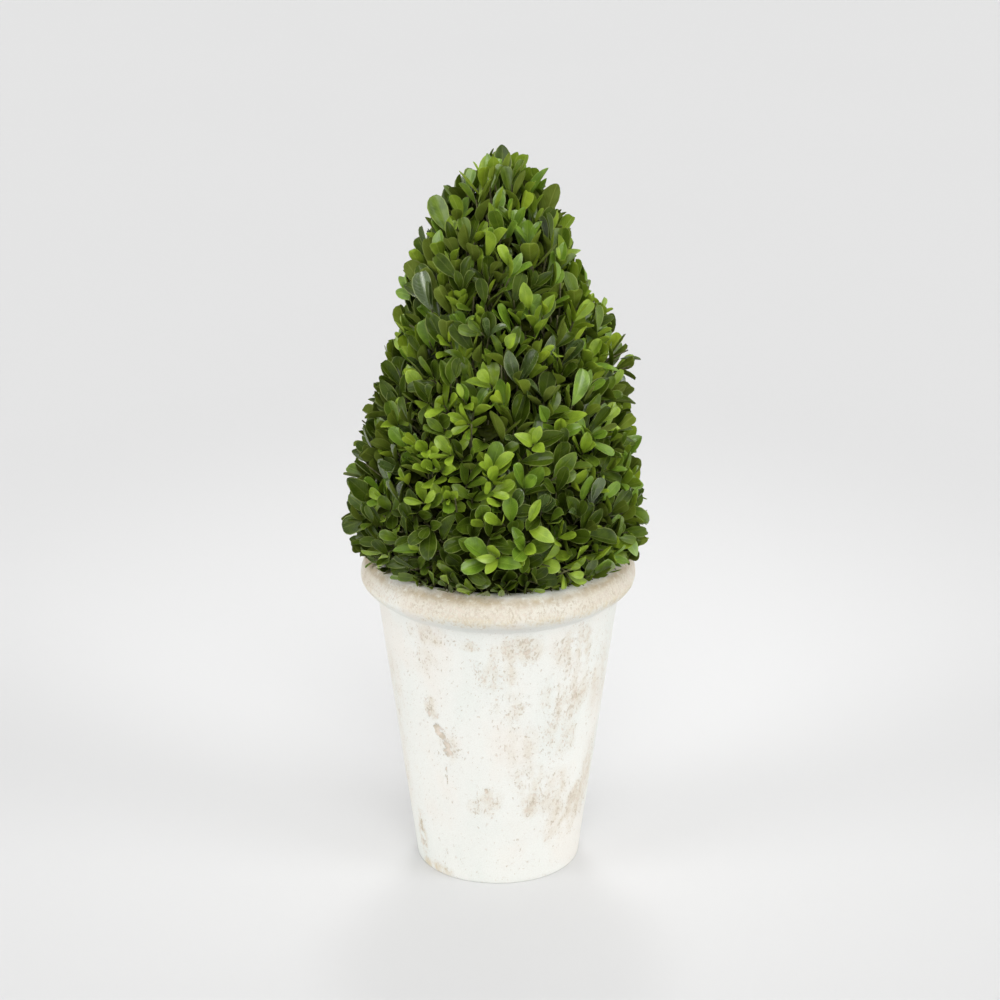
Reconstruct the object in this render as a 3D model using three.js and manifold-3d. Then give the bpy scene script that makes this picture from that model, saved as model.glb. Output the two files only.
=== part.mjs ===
// A clipped boxwood cone in a tapered, round-rimmed pot. Millimetres, +Z up, the origin at the centre of the
// pot's flat underside.
//
// The pot is one turned shell with a rolled rim. Soil fills it to just under the rim, and a short tapering stem
// stands on the soil and runs up the middle of the crown. The crown is clipped to one outline, and is made as
// three masses that stand in each other like nested funnels. Each mass is a core, bored clear of the stem, with
// leafy sprigs that stand out of it: a three-sided twig with crossed pairs of leaves.
import * as THREE from "three";
import { ConvexGeometry } from "three/addons/geometries/ConvexGeometry.js";
import { mergeVertices } from "three/addons/utils/BufferGeometryUtils.js";
import Module from "manifold-3d";

const wasm = await Module();
wasm.setup();

// Pot
const POT_HEIGHT = 229.5;
const POT_SIDES = 48;
const BASE_RADIUS = 57.4;
const BASE_ROUND = 2.5;
const NECK_RADIUS = 83.8; // where the wall runs into the hollow under the rim
const NECK_Z = 201;
const RIM_RADIUS = 95;
const RIM_WIDEST_Z = 214;
const RIM_UNDERSIDE_Z = 205;
const CREST_RADIUS = 84.5; // the highest circle of the rolled rim
const MOUTH_RADIUS = 75;
const MOUTH_Z = 218;
const ROLL_STEPS = 14;
const WALL = 9.5;
const FLOOR = 12;
const HOLLOW_FOOT_Z = FLOOR + 4; // the inside runs straight from here up to under the rim
const HOLLOW_FOOT_RADIUS = BASE_RADIUS - WALL + 1.5;
const HOLLOW_HEAD_Z = NECK_Z - 12;
const HOLLOW_HEAD_RADIUS = MOUTH_RADIUS - 1;
const RIM_CLEARANCE = 1.2; // what sprigs and leaves keep from the rim

// Soil and stem
const GAP = 0.3; // between any two pieces that touch
const SOIL_TOP = 211;
const SOIL_CLEARANCE = 1.2; // from the facets of the pot's inside
const STEM_TOP = 448;
const STEM_FOOT_RADIUS = 7;
const STEM_TIP_RADIUS = 2.6;
const ROOT_FLARE = 5;
const ROOT_FLARE_HEIGHT = 16;
const STEM_LEAN = 5; // how far the tip stands off the axis
const STEM_SIDES = 10;
const STEM_RINGS = [0, 0.02, 0.045, 0.07, 0.25, 0.45, 0.65, 0.85, 1]; // heights, as shares of its length
const BORE_SUNK = 5; // how far the bore for the stem starts below the crown's foot

// Crown outline: how far the leaf tips reach at each height
const CROWN_TOP = 516;
const BELLY_Z = 262;
const BELLY_RADIUS = 108;
const OUTLINE_POWER = 0.46;
const HEM_Z = 232; // the lowest leaves, just over the rim
const HEM_TUCK = 9; // how far the outline draws in from the belly to the hem

// Core, the same outline drawn in
const CORE_TOP = 472;
const CORE_INSET = 30;
const CORE_TUCK = 7; // how far it draws in from the belly to its foot, to pass through the pot's mouth
const CORE_FOOT_Z = SOIL_TOP + GAP;
const CORE_SIDES = 24;
const CORE_RINGS = 8;
const CORE_CROWDING = 0.35; // how much the rings crowd towards the top

// Masses, from the pot up. Each floor is a cone that opens upwards: its height on the axis, and its rise for
// each millimetre out.
const MASSES = [
  { name: "lower_foliage", floor: -80, rise: 1.4, colour: 0x44561f },
  { name: "middle_foliage", floor: 212, rise: 1.4, colour: 0x4d6324 },
  { name: "upper_foliage", floor: 318, rise: 1.7, colour: 0x51672a },
];
const CEILING = { floor: 900, rise: 1 };
const SPACE_MARGIN = 1.2; // what a leaf keeps from the floor and ceiling of its mass

// Sprigs and leaves
const SEED = 146;
const SPRIGS = 150;
const SPRIG_OUT = 15; // of the twig, clear of the core
const SPRIG_SUNK = 8;
const TWIG_FOOT_RADIUS = 2.2;
const TWIG_TIP_RADIUS = 1.6;
const LEAF_LENGTH = 36;
const LEAF_WIDTH = 22;
const LEAF_THICKNESS = 1.3;
const LEAF_ROOT = 1; // how far a leaf's foot runs on behind the middle of its twig
const LEAF_SHOULDERS = [
  { along: 0.34, width: 0.72 },
  { along: 0.76, width: 1 },
];
const NODES = [
  { along: 0.6, spread: 66 },
  { along: 0.94, spread: 42 },
];
const LOW_RISE = 2; // how far a sprig is tilted up from the core's normal at the hem, in degrees
const HIGH_RISE = 36; // and from a little above the middle of the crown
const SPRIGS_FROM_Z = HEM_Z - 6;
const LIFTS = [0, 9, 18, 27, 36, -9, -18]; // what a sprig tries, in degrees, until its tip is in its space
const SPREADS = [1, 1.25, 0.75, 1.5, 0.5, 1.75, 0.25]; // what a leaf tries, as shares of its own spread
const SWINGS = [0, 0.4, -0.4]; // what it tries round the twig, in radians
const SHORTER = [1, 0.85, 0.7];
const GOLDEN_ANGLE = Math.PI * (3 - Math.sqrt(5));
const UP = new THREE.Vector3(0, 0, 1);

const lerp = THREE.MathUtils.lerp;
const radians = THREE.MathUtils.degToRad;

// A repeatable stream of numbers from 0 to 1.
function randomStream(seed) {
  let state = seed >>> 0;
  return () => {
    state = (state + 0x6d2b79f5) >>> 0;
    let mixed = Math.imul(state ^ (state >>> 15), 1 | state);
    mixed = (mixed + Math.imul(mixed ^ (mixed >>> 7), 61 | mixed)) ^ mixed;
    return ((mixed ^ (mixed >>> 14)) >>> 0) / 4294967296;
  };
}

// A number from the stream, at most this far from 0.
function either(range, random) {
  return lerp(-range, range, random());
}

function solidOf(geometry) {
  const bare = geometry.clone();
  bare.deleteAttribute("normal");
  bare.deleteAttribute("uv");
  const merged = mergeVertices(bare, 1e-4);
  return new wasm.Manifold(
    new wasm.Mesh({
      numProp: 3,
      vertProperties: merged.attributes.position.array,
      triVerts: new Uint32Array(merged.index.array),
    }),
  );
}

function geometryOf(solid) {
  const mesh = solid.getMesh();
  const geometry = new THREE.BufferGeometry();
  geometry.setAttribute("position", new THREE.BufferAttribute(mesh.vertProperties, 3));
  geometry.setIndex(new THREE.BufferAttribute(mesh.triVerts, 1));
  geometry.computeVertexNormals();
  return geometry;
}

// A solid turned round the vertical axis from [radius, height] points, listed upwards along its outside.
function turned(points, sides) {
  const profile = points.map(([radius, z]) => new THREE.Vector2(radius, z));
  return new THREE.LatheGeometry(profile, sides).rotateX(Math.PI / 2);
}

// Points on a curve through the control points, as [radius, height] pairs.
function smooth(controls, count) {
  const curve = new THREE.SplineCurve(controls.map(([radius, z]) => new THREE.Vector2(radius, z)));
  return curve.getPoints(count).map((point) => [point.x, point.y]);
}

function potProfile() {
  const foot = [
    [0, 0],
    [BASE_RADIUS - BASE_ROUND, 0],
    [BASE_RADIUS - BASE_ROUND * 0.3, BASE_ROUND * 0.3],
    [BASE_RADIUS + 0.1, BASE_ROUND],
  ];
  const roll = smooth(
    [
      [NECK_RADIUS, NECK_Z],
      [NECK_RADIUS + 3.6, RIM_UNDERSIDE_Z - 0.6], // the hollow under the roll
      [RIM_RADIUS - 3, RIM_UNDERSIDE_Z + 2.5], // its lower shoulder
      [RIM_RADIUS, RIM_WIDEST_Z],
      [RIM_RADIUS - 3.4, POT_HEIGHT - 5], // its upper shoulder
      [CREST_RADIUS, POT_HEIGHT],
      [MOUTH_RADIUS + 3.6, POT_HEIGHT - 3.4], // its inner shoulder
      [MOUTH_RADIUS, MOUTH_Z],
    ],
    ROLL_STEPS,
  );
  const inside = [
    [HOLLOW_HEAD_RADIUS, HOLLOW_HEAD_Z],
    [HOLLOW_FOOT_RADIUS, HOLLOW_FOOT_Z],
    [HOLLOW_FOOT_RADIUS - 4.5, FLOOR],
    [0, FLOOR],
  ];
  return [...foot, ...roll, ...inside];
}

// A plain ring round the rim, a little larger than it, that sprigs and leaves keep out of.
function rimGuardProfile() {
  const corners = [
    [MOUTH_RADIUS - RIM_CLEARANCE, NECK_Z],
    [RIM_RADIUS + RIM_CLEARANCE, NECK_Z],
    [RIM_RADIUS + RIM_CLEARANCE, RIM_WIDEST_Z + 5],
    [CREST_RADIUS + 4, POT_HEIGHT + RIM_CLEARANCE],
    [CREST_RADIUS - 4, POT_HEIGHT + RIM_CLEARANCE],
    [MOUTH_RADIUS - RIM_CLEARANCE, MOUTH_Z + 2],
  ];
  return [...corners, corners[0]];
}

// The soil fills the pot's inside, a little clear of its wall and floor.
function soilProfile() {
  return [
    [0, FLOOR + GAP],
    [HOLLOW_FOOT_RADIUS - 6, FLOOR + GAP],
    [HOLLOW_FOOT_RADIUS - SOIL_CLEARANCE, HOLLOW_FOOT_Z + 1],
    [HOLLOW_HEAD_RADIUS - SOIL_CLEARANCE, HOLLOW_HEAD_Z],
    [HOLLOW_HEAD_RADIUS - SOIL_CLEARANCE, SOIL_TOP],
    [0, SOIL_TOP],
  ];
}

// The stem is a run of rings that narrow to the tip, drift off the axis and flare at the foot.
function stemAt(z) {
  const share = (z - SOIL_TOP) / (STEM_TOP - SOIL_TOP);
  const flare = ROOT_FLARE * Math.max(0, 1 - (z - SOIL_TOP) / ROOT_FLARE_HEIGHT) ** 2;
  return {
    radius: lerp(STEM_FOOT_RADIUS, STEM_TIP_RADIUS, share) + flare,
    x: STEM_LEAN * share * share,
    y: 0.4 * STEM_LEAN * Math.sin(Math.PI * share),
  };
}

// The stem from one height to another, thicker by an extra all round.
function stemGeometry(extra, fromZ, toZ) {
  const heights = STEM_RINGS.map((share) => lerp(fromZ, toZ, share));
  const geometry = new THREE.CylinderGeometry(1, 1, 1, STEM_SIDES, heights.length - 1);
  geometry.rotateX(Math.PI / 2);
  const position = geometry.attributes.position;
  for (let i = 0; i < position.count; i++) {
    const ring = Math.round((position.getZ(i) + 0.5) * (heights.length - 1));
    const z = heights[ring];
    const centre = stemAt(z);
    const radius = centre.radius + extra;
    position.setXYZ(i, centre.x + position.getX(i) * radius, centre.y + position.getY(i) * radius, z);
  }
  return geometry;
}

// The radius that the leaf tips reach at a height.
function outlineRadius(z) {
  if (z >= CROWN_TOP) return 0;
  if (z >= BELLY_Z) return BELLY_RADIUS * ((CROWN_TOP - z) / (CROWN_TOP - BELLY_Z)) ** OUTLINE_POWER;
  return BELLY_RADIUS - HEM_TUCK * ((BELLY_Z - z) / (BELLY_Z - HEM_Z)) ** 2;
}

// The core's radius at a height.
function coreRadius(z) {
  const widest = BELLY_RADIUS - CORE_INSET;
  if (z >= BELLY_Z) return widest * (Math.max(0, CORE_TOP - z) / (CORE_TOP - BELLY_Z)) ** OUTLINE_POWER;
  return widest - CORE_TUCK * ((BELLY_Z - z) / (BELLY_Z - CORE_FOOT_Z)) ** 2;
}

function coreProfile() {
  const points = [[0, CORE_FOOT_Z]];
  for (let ring = 0; ring <= CORE_RINGS; ring++) {
    const even = ring / CORE_RINGS;
    const z = lerp(CORE_FOOT_Z, CORE_TOP, lerp(even, Math.sin((even * Math.PI) / 2), CORE_CROWDING));
    points.push([ring === CORE_RINGS ? 0 : coreRadius(z), z]);
  }
  return points;
}

// The space between two cone-shaped floors, as a solid.
function bandSolid({ below, above }) {
  const reach = BELLY_RADIUS + 20;
  const floorAt = (mass, radius) => mass.floor + mass.rise * radius;
  return solidOf(
    turned(
      [
        [0, floorAt(below, 0) + GAP],
        [reach, floorAt(below, reach) + GAP],
        [reach, floorAt(above, reach)],
        [0, floorAt(above, 0)],
      ],
      CORE_SIDES,
    ),
  );
}

// The space of a mass: between its own floor and the next mass's.
function spaceOf(massIndex) {
  return { below: MASSES[massIndex], above: MASSES[massIndex + 1] ?? CEILING };
}

// True if a point lies in the crown's outline, over the soil and between the floors of its mass.
function inSpace(point, { below, above }) {
  const radius = Math.hypot(point.x, point.y);
  return (
    point.z > SOIL_TOP + SPACE_MARGIN &&
    radius <= outlineRadius(point.z) &&
    point.z > below.floor + below.rise * radius + SPACE_MARGIN &&
    point.z < above.floor + above.rise * radius - SPACE_MARGIN
  );
}

// A leaf along +X with its upper side facing +Z: eight faces, widest past its middle, raised along its midrib.
function leafPoints(length, width) {
  const shoulders = LEAF_SHOULDERS.flatMap((shoulder) =>
    [0.5, -0.5].map((side) => [length * shoulder.along, side * width * shoulder.width, -LEAF_THICKNESS]),
  );
  return [[-LEAF_ROOT, 0, 0], ...shoulders, [length, 0, 0]].map((point) => new THREE.Vector3(...point));
}

// Places spread evenly over the core, the first on its very top. Each has a radius, a height, an angle round
// the stem and the slope of the core's normal there.
function sprigPlaces() {
  const steps = 400;
  const rings = [];
  let area = 0;
  for (let i = 0; i <= steps; i++) {
    const z = lerp(SPRIGS_FROM_Z, CORE_TOP, i / steps);
    const radius = coreRadius(z);
    const before = rings.at(-1);
    if (before) area += ((radius + before.radius) / 2) * Math.hypot(radius - before.radius, z - before.z);
    rings.push({ z, radius, area });
  }
  const places = [{ z: CORE_TOP, radius: 0, slope: Math.PI / 2, angle: 0 }];
  for (let i = 0; i < SPRIGS; i++) {
    const wanted = ((i + 0.5) / SPRIGS) * area;
    const at = Math.max(1, rings.findIndex((ring) => ring.area >= wanted));
    const [low, high] = [rings[at - 1], rings[at]];
    const slope = Math.atan2(low.radius - high.radius, high.z - low.z);
    places.push({ z: high.z, radius: high.radius, slope, angle: i * GOLDEN_ANGLE });
  }
  return places;
}

// A solid with the box round it.
function boxed(solid) {
  const { min, max } = solid.boundingBox();
  return { solid, box: new THREE.Box3(new THREE.Vector3(...min), new THREE.Vector3(...max)) };
}

// True if a boxed solid runs into any of the others.
function crosses(one, others) {
  const near = others.filter((other) => one.box.intersectsBox(other.box));
  return near.some((other) => !one.solid.intersect(other.solid).isEmpty());
}

// The direction of a sprig: out from the stem, lifted from the level and swung to one side.
function sprigAxis(outward, around, lift, swing) {
  const axis = outward.clone().multiplyScalar(Math.cos(lift)).setZ(Math.sin(lift));
  return axis.addScaledVector(around, swing).normalize();
}

// A three-sided twig from a root on the core, sunk into it.
function twigSolid(root, axis, reach) {
  const length = reach + SPRIG_SUNK;
  return solidOf(
    new THREE.CylinderGeometry(TWIG_TIP_RADIUS, TWIG_FOOT_RADIUS, length, 3, 1)
      .translate(0, length / 2 - SPRIG_SUNK, 0)
      .applyQuaternion(new THREE.Quaternion().setFromUnitVectors(new THREE.Vector3(0, 1, 0), axis))
      .translate(root.x, root.y, root.z),
  );
}

// A twig with its leaves, kept clear of what has its place already, as a list of boxed solids.
function sprigSolids(place, root, space, taken, random) {
  const outward = new THREE.Vector3(1, 0, 0).applyAxisAngle(UP, place.angle);
  const around = new THREE.Vector3(-outward.y, outward.x, 0);
  const height = THREE.MathUtils.clamp((1.6 * (place.z - HEM_Z)) / (CORE_TOP - HEM_Z), 0, 1);
  const lift = place.slope + radians(lerp(LOW_RISE, HIGH_RISE, height) + either(9, random));
  const swing = either(0.25, random);
  const reach = SPRIG_OUT * (1 + either(0.15, random));
  const turn = random() * Math.PI;
  const ways = LIFTS.map((more) => sprigAxis(outward, around, Math.min(Math.PI / 2, lift + radians(more)), swing));
  const axis = ways.find((way) => inSpace(root.clone().addScaledVector(way, reach), space));
  if (!axis) return [];
  const twig = boxed(twigSolid(root, axis, reach));
  if (crosses(twig, taken)) return [];

  const sprig = [twig];
  const side = new THREE.Vector3().crossVectors(axis, around).normalize();
  const across = new THREE.Vector3().crossVectors(side, axis);
  NODES.forEach((node, nodeIndex) => {
    for (const half of [0, 1]) {
      const leaf = fittedLeaf(space, taken, {
        foot: root.clone().addScaledVector(axis, reach * node.along),
        axis,
        side,
        across,
        azimuth: turn + nodeIndex * (Math.PI / 2) + half * Math.PI + either(0.25, random),
        spread: radians(node.spread + either(9, random)),
        size: lerp(0.86, 1.12, random()),
      });
      if (leaf) sprig.push(leaf);
    }
  });
  return sprig;
}

// A leaf on a twig. It opens, folds, turns round the twig, then shortens, until it keeps to its space and clear
// of what is there; null if it can't.
function fittedLeaf(space, taken, { foot, axis, side, across, azimuth, spread, size }) {
  for (const scale of SHORTER) {
    for (const swing of SWINGS) {
      const away = side.clone().multiplyScalar(Math.cos(azimuth + swing));
      away.addScaledVector(across, Math.sin(azimuth + swing));
      for (const share of SPREADS) {
        const angle = spread * share;
        const along = axis.clone().multiplyScalar(Math.cos(angle)).addScaledVector(away, Math.sin(angle));
        const upper = axis.clone().multiplyScalar(Math.sin(angle)).addScaledVector(away, -Math.cos(angle));
        const wide = new THREE.Vector3().crossVectors(upper, along);
        const frame = new THREE.Matrix4().makeBasis(along, wide, upper).setPosition(foot);
        const points = leafPoints(LEAF_LENGTH * size * scale, LEAF_WIDTH * size);
        points.forEach((point) => point.applyMatrix4(frame));
        if (!points.slice(1).every((point) => inSpace(point, space))) continue;
        const leaf = boxed(solidOf(new ConvexGeometry(points)));
        if (!crosses(leaf, taken)) return leaf;
      }
    }
  }
  return null;
}

// The largest connected piece of a solid, without loose scraps.
function mainBody(solid) {
  return solid.decompose().reduce((best, body) => (body.volume() > best.volume() ? body : best));
}

function foliageGeometries() {
  const random = randomStream(SEED);
  const bore = solidOf(stemGeometry(GAP, CORE_FOOT_Z - BORE_SUNK, STEM_TOP + GAP));
  const core = solidOf(turned(coreProfile(), CORE_SIDES));
  const rimGuard = boxed(solidOf(turned(rimGuardProfile(), POT_SIDES)));
  const grown = MASSES.map(() => []);
  for (const place of sprigPlaces()) {
    const root = new THREE.Vector3(place.radius, 0, place.z).applyAxisAngle(UP, place.angle);
    const massIndex = MASSES.findLastIndex((mass) => root.z > mass.floor + mass.rise * place.radius);
    const taken = [rimGuard, ...grown[massIndex]];
    grown[massIndex].push(...sprigSolids(place, root, spaceOf(massIndex), taken, random));
  }
  return grown.map((sprigs, massIndex) => {
    const leafy = wasm.Manifold.union([core, ...sprigs.map((sprig) => sprig.solid)]);
    return geometryOf(mainBody(leafy.intersect(bandSolid(spaceOf(massIndex))).subtract(bore)));
  });
}

function named(name, geometry, colour, roughness) {
  const material = new THREE.MeshStandardMaterial({ color: colour, roughness, metalness: 0 });
  const mesh = new THREE.Mesh(geometry, material);
  mesh.name = name;
  return mesh;
}

const topiary = new THREE.Group();
topiary.add(named("pot", turned(potProfile(), POT_SIDES), 0xe9e6dc, 0.9));
topiary.add(named("soil", turned(soilProfile(), POT_SIDES), 0x3a2c20, 1));
topiary.add(named("stem", stemGeometry(0, SOIL_TOP + GAP, STEM_TOP), 0x6d5a44, 0.85));
foliageGeometries().forEach((geometry, i) => {
  topiary.add(named(MASSES[i].name, geometry, MASSES[i].colour, 0.45));
});

export default topiary;
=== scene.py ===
"""Looks for the clipped boxwood cone in its whitewashed clay pot.

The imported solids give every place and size. Here the pot gets its turned, lumpy and chipped surface, and
each mass of the crown gives way to boughs, twigs and leaves that grow by the same rule as the solids,
carried to finer twigs within the same outline. Everything is in metres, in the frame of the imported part.
"""

import logging
import math
from collections.abc import Callable, Iterable, Sequence
from dataclasses import dataclass, field, fields
from enum import Enum

import bmesh
import bpy
import numpy as np
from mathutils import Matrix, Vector, noise
from mathutils.bvhtree import BVHTree


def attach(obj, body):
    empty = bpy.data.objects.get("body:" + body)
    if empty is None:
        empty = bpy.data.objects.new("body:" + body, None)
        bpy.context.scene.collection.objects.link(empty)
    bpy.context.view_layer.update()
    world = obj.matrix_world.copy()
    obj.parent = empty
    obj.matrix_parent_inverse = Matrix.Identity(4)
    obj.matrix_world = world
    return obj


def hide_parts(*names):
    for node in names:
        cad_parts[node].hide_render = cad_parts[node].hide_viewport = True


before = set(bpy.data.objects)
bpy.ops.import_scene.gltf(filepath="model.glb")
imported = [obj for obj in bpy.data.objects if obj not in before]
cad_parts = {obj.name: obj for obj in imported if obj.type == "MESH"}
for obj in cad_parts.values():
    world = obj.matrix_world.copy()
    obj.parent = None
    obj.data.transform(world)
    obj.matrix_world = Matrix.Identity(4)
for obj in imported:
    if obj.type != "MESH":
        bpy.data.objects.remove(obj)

LOG = logging.getLogger("topiary")
BODY = "root"
GOLDEN_ANGLE = math.pi * (3 - math.sqrt(5))
SWELL_START = Vector((3.3, 0, 7.1))
Colour = tuple[float, float, float]
Point = tuple[float, float, float]
Span = tuple[float, float]
Array = np.ndarray
Draw = np.random.Generator
Piece = bpy.types.Object
Material = bpy.types.Material
NodeTree = bpy.types.NodeTree
Socket = bpy.types.NodeSocket


# ---------------------------------------- modelling helpers


def deselect_all() -> None:
    """Leaves nothing selected, so that an operator acts only on what comes next."""
    bpy.ops.object.select_all(action="DESELECT")


def chosen(piece: Piece) -> Piece:
    """Selects one object alone and makes it the active one.

    Args:
        piece: the object.

    Returns:
        The same object.
    """
    deselect_all()
    piece.select_set(True)
    bpy.context.view_layer.objects.active = piece
    return piece


def select_points(piece: Piece, test: Callable[[Vector], bool]) -> None:
    """Selects the vertices of the mesh in edit mode that pass a test.

    Args:
        piece: the object in edit mode.
        test: says of a vertex's place whether it is wanted.
    """
    mesh = bmesh.from_edit_mesh(piece.data)
    for vert in mesh.verts:
        vert.select = test(vert.co)
    mesh.select_flush(True)
    mesh.select_flush(False)
    bmesh.update_edit_mesh(piece.data)


def points_of(mesh: bpy.types.Mesh) -> Array:
    """The places of a mesh's vertices, one row each."""
    places = np.empty(len(mesh.vertices) * 3)
    mesh.vertices.foreach_get("co", places)
    return places.reshape(-1, 3)


def move_points(mesh: bpy.types.Mesh, places: Array) -> None:
    """Puts a mesh's vertices at new places, one row each."""
    mesh.vertices.foreach_set("co", np.ascontiguousarray(places, dtype=np.float64).ravel())
    mesh.update()


def turned(name: str, profile: Sequence[tuple[float, float]], steps: int) -> Piece:
    """Turns a profile round the vertical axis into a closed shell.

    Args:
        name: what the piece is called.
        profile: radius and height of each point, from one end on the axis to the other.
        steps: how many parts the turn has.

    Returns:
        The new piece.
    """
    deselect_all()
    bpy.ops.mesh.primitive_circle_add(vertices=len(profile), radius=1, fill_type="NOTHING")
    piece = bpy.context.object
    piece.name = name
    move_points(piece.data, np.array([(radius, 0, z) for radius, z in profile]))
    bpy.ops.object.mode_set(mode="EDIT")
    mesh = bmesh.from_edit_mesh(piece.data)
    for edge in mesh.edges:
        edge.select = all(abs(vert.co.x) < 1e-9 for vert in edge.verts)
    bmesh.update_edit_mesh(piece.data)
    bpy.ops.mesh.delete(type="EDGE_FACE")
    bpy.ops.mesh.select_all(action="SELECT")
    bpy.ops.mesh.spin(steps=steps, angle=2 * math.pi, center=(0, 0, 0), axis=(0, 0, 1))
    bpy.ops.mesh.select_all(action="SELECT")
    bpy.ops.mesh.remove_doubles(threshold=1e-6)
    bpy.ops.mesh.normals_make_consistent(inside=False)
    bpy.ops.object.mode_set(mode="OBJECT")
    return piece


def smoothed(piece: Piece, degrees: float) -> None:
    """Shades a piece smooth, with edges sharper than an angle left crisp."""
    chosen(piece)
    bpy.ops.object.shade_smooth_by_angle(angle=math.radians(degrees))


def curve_through(controls: Sequence[tuple[float, float]], count: int) -> list[tuple[float, float]]:
    """Points on a smooth curve through control points.

    Args:
        controls: radius and height of each control point.
        count: how many equal steps the curve is cut into.

    Returns:
        The radius and height of each point.
    """
    knots = np.array(controls)
    points = []
    for step in range(count + 1):
        place = (len(knots) - 1) * step / count
        at = min(int(place), len(knots) - 2)
        share = place - at
        before, after = knots[max(at - 1, 0)], knots[min(at + 2, len(knots) - 1)]
        first, second = knots[at], knots[at + 1]
        lead, trail = (second - before) / 2, (after - first) / 2
        cubic = (2 * (first - second) + lead + trail) * share**3
        square = (3 * (second - first) - 2 * lead - trail) * share**2
        points.append(tuple(cubic + square + lead * share + first))
    return points


def spaced(points: Sequence[tuple[float, float]], gap: float) -> list[tuple[float, float]]:
    """The same line with more points, none further apart than a gap.

    Args:
        points: the corners of the line.
        gap: the longest step.

    Returns:
        The corners with the points added between them.
    """
    line = [points[0]]
    for start, end in zip(points, points[1:]):
        cuts = max(1, math.ceil(math.dist(start, end) / gap))
        for cut in range(1, cuts + 1):
            share = cut / cuts
            line.append(tuple(a + (b - a) * share for a, b in zip(start, end)))
    return line


@dataclass(frozen=True)
class Grain:
    """Smooth seeded noise from about -1 to 1, with a scale in features to the metre."""

    scale: float
    seed: float
    octaves: int = 3

    def at(self, place: Vector) -> float:
        """The noise at a place."""
        start = Vector((self.seed, 2.7 * self.seed, -self.seed))
        return noise.fractal(place * self.scale + start, 1.0, 2.0, self.octaves)

    def over(self, places: Array) -> Array:
        """The noise at each of many places."""
        return np.array([self.at(Vector(place)) for place in places])


def unit(vectors: Array) -> Array:
    """The same directions, one unit long."""
    return vectors / np.maximum(np.linalg.norm(vectors, axis=-1, keepdims=True), 1e-12)


def blend(low: Array | float, high: Array | float, share: Array | float) -> Array:
    """The value a share of the way from low to high."""
    return low + (high - low) * share


def half_turned(degrees: Array) -> Array:
    """The same angles, from -180 to 180 degrees."""
    return (degrees + 180) % 360 - 180


# ---------------------------------------- shader helpers


class Shader:
    """Adds and links the nodes of one material or node group."""

    def __init__(self, tree: NodeTree) -> None:
        """Starts with an empty tree."""
        self.tree = tree
        tree.nodes.clear()

    def add(self, kind: str, inputs: dict | None = None, **settings) -> bpy.types.Node:
        """Adds a node.

        Args:
            kind: the node's type.
            inputs: a value or a socket for each input, by name or number.
            **settings: the node's own settings.

        Returns:
            The node.
        """
        node = self.tree.nodes.new(kind)
        for name, value in settings.items():
            setattr(node, name, value)
        for name, value in (inputs or {}).items():
            self.feed(node.inputs[name], value)
        return node

    def feed(self, socket: Socket, value: object) -> None:
        """Links a socket into an input, or sets the input to a value."""
        if isinstance(value, Socket):
            self.tree.links.new(value, socket)
        elif socket.type == "RGBA" and len(value) == 3:
            socket.default_value = (*value, 1)
        else:
            socket.default_value = value

    def math(self, operation: str, first: object, second: object = 0.0) -> Socket:
        """One sum on two values."""
        return self.add("ShaderNodeMath", {0: first, 1: second}, operation=operation).outputs[0]

    def plus(self, first: object, second: object) -> Socket:
        """The sum of two values."""
        return self.math("ADD", first, second)

    def minus(self, first: object, second: object) -> Socket:
        """The first value less the second."""
        return self.math("SUBTRACT", first, second)

    def times(self, first: object, second: object) -> Socket:
        """The product of two values."""
        return self.math("MULTIPLY", first, second)

    def mixed(self, share: object, first: object, second: object) -> Socket:
        """A colour a share of the way from the first to the second."""
        node = self.add("ShaderNodeMix", {0: share, 6: first, 7: second}, data_type="RGBA")
        return node.outputs[2]

    def ramp(self, value: object, low: float, high: float, top: float = 1.0) -> Socket:
        """0 below low, rising smoothly to top at high."""
        inputs = {"Value": value, "From Min": low, "From Max": high, "To Max": top}
        return self.add("ShaderNodeMapRange", inputs, interpolation_type="SMOOTHSTEP").outputs[0]

    def noise(self, where: object, scale: float, detail: float = 3.0, rough: float = 0.5) -> Socket:
        """Smooth noise from 0 to 1."""
        inputs = {"Vector": where, "Scale": scale, "Detail": detail, "Roughness": rough}
        return self.add("ShaderNodeTexNoise", inputs).outputs["Fac"]

    def object_place(self) -> Socket:
        """The place on the piece, in metres."""
        return self.add("ShaderNodeTexCoord").outputs["Object"]


def new_material(name: str) -> tuple[Material, Shader]:
    """A new material with an empty tree.

    Args:
        name: what the material is called.

    Returns:
        The material and the builder of its nodes.
    """
    material = bpy.data.materials.new(name)
    material.use_nodes = True
    return material, Shader(material.node_tree)


def finish_surface(shader: Shader, inputs: dict) -> None:
    """Ends a material in one shader.

    Args:
        shader: the material's nodes.
        inputs: a value or a socket for each input of the shader, by name.
    """
    surface = shader.add("ShaderNodeBsdfPrincipled", inputs)
    shader.add("ShaderNodeOutputMaterial", {"Surface": surface.outputs["BSDF"]})


def relief_normal(shader: Shader, height: object, distance: float, strength: float = 1.0) -> Socket:
    """A normal that follows a height.

    Args:
        shader: the material's nodes.
        height: the socket that carries the height, 0 to 1.
        distance: how high 1 stands, in metres.
        strength: how much of it shows.

    Returns:
        The socket of the normal.
    """
    inputs = {"Height": height, "Distance": distance, "Strength": strength}
    return shader.add("ShaderNodeBump", inputs).outputs[0]


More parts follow.
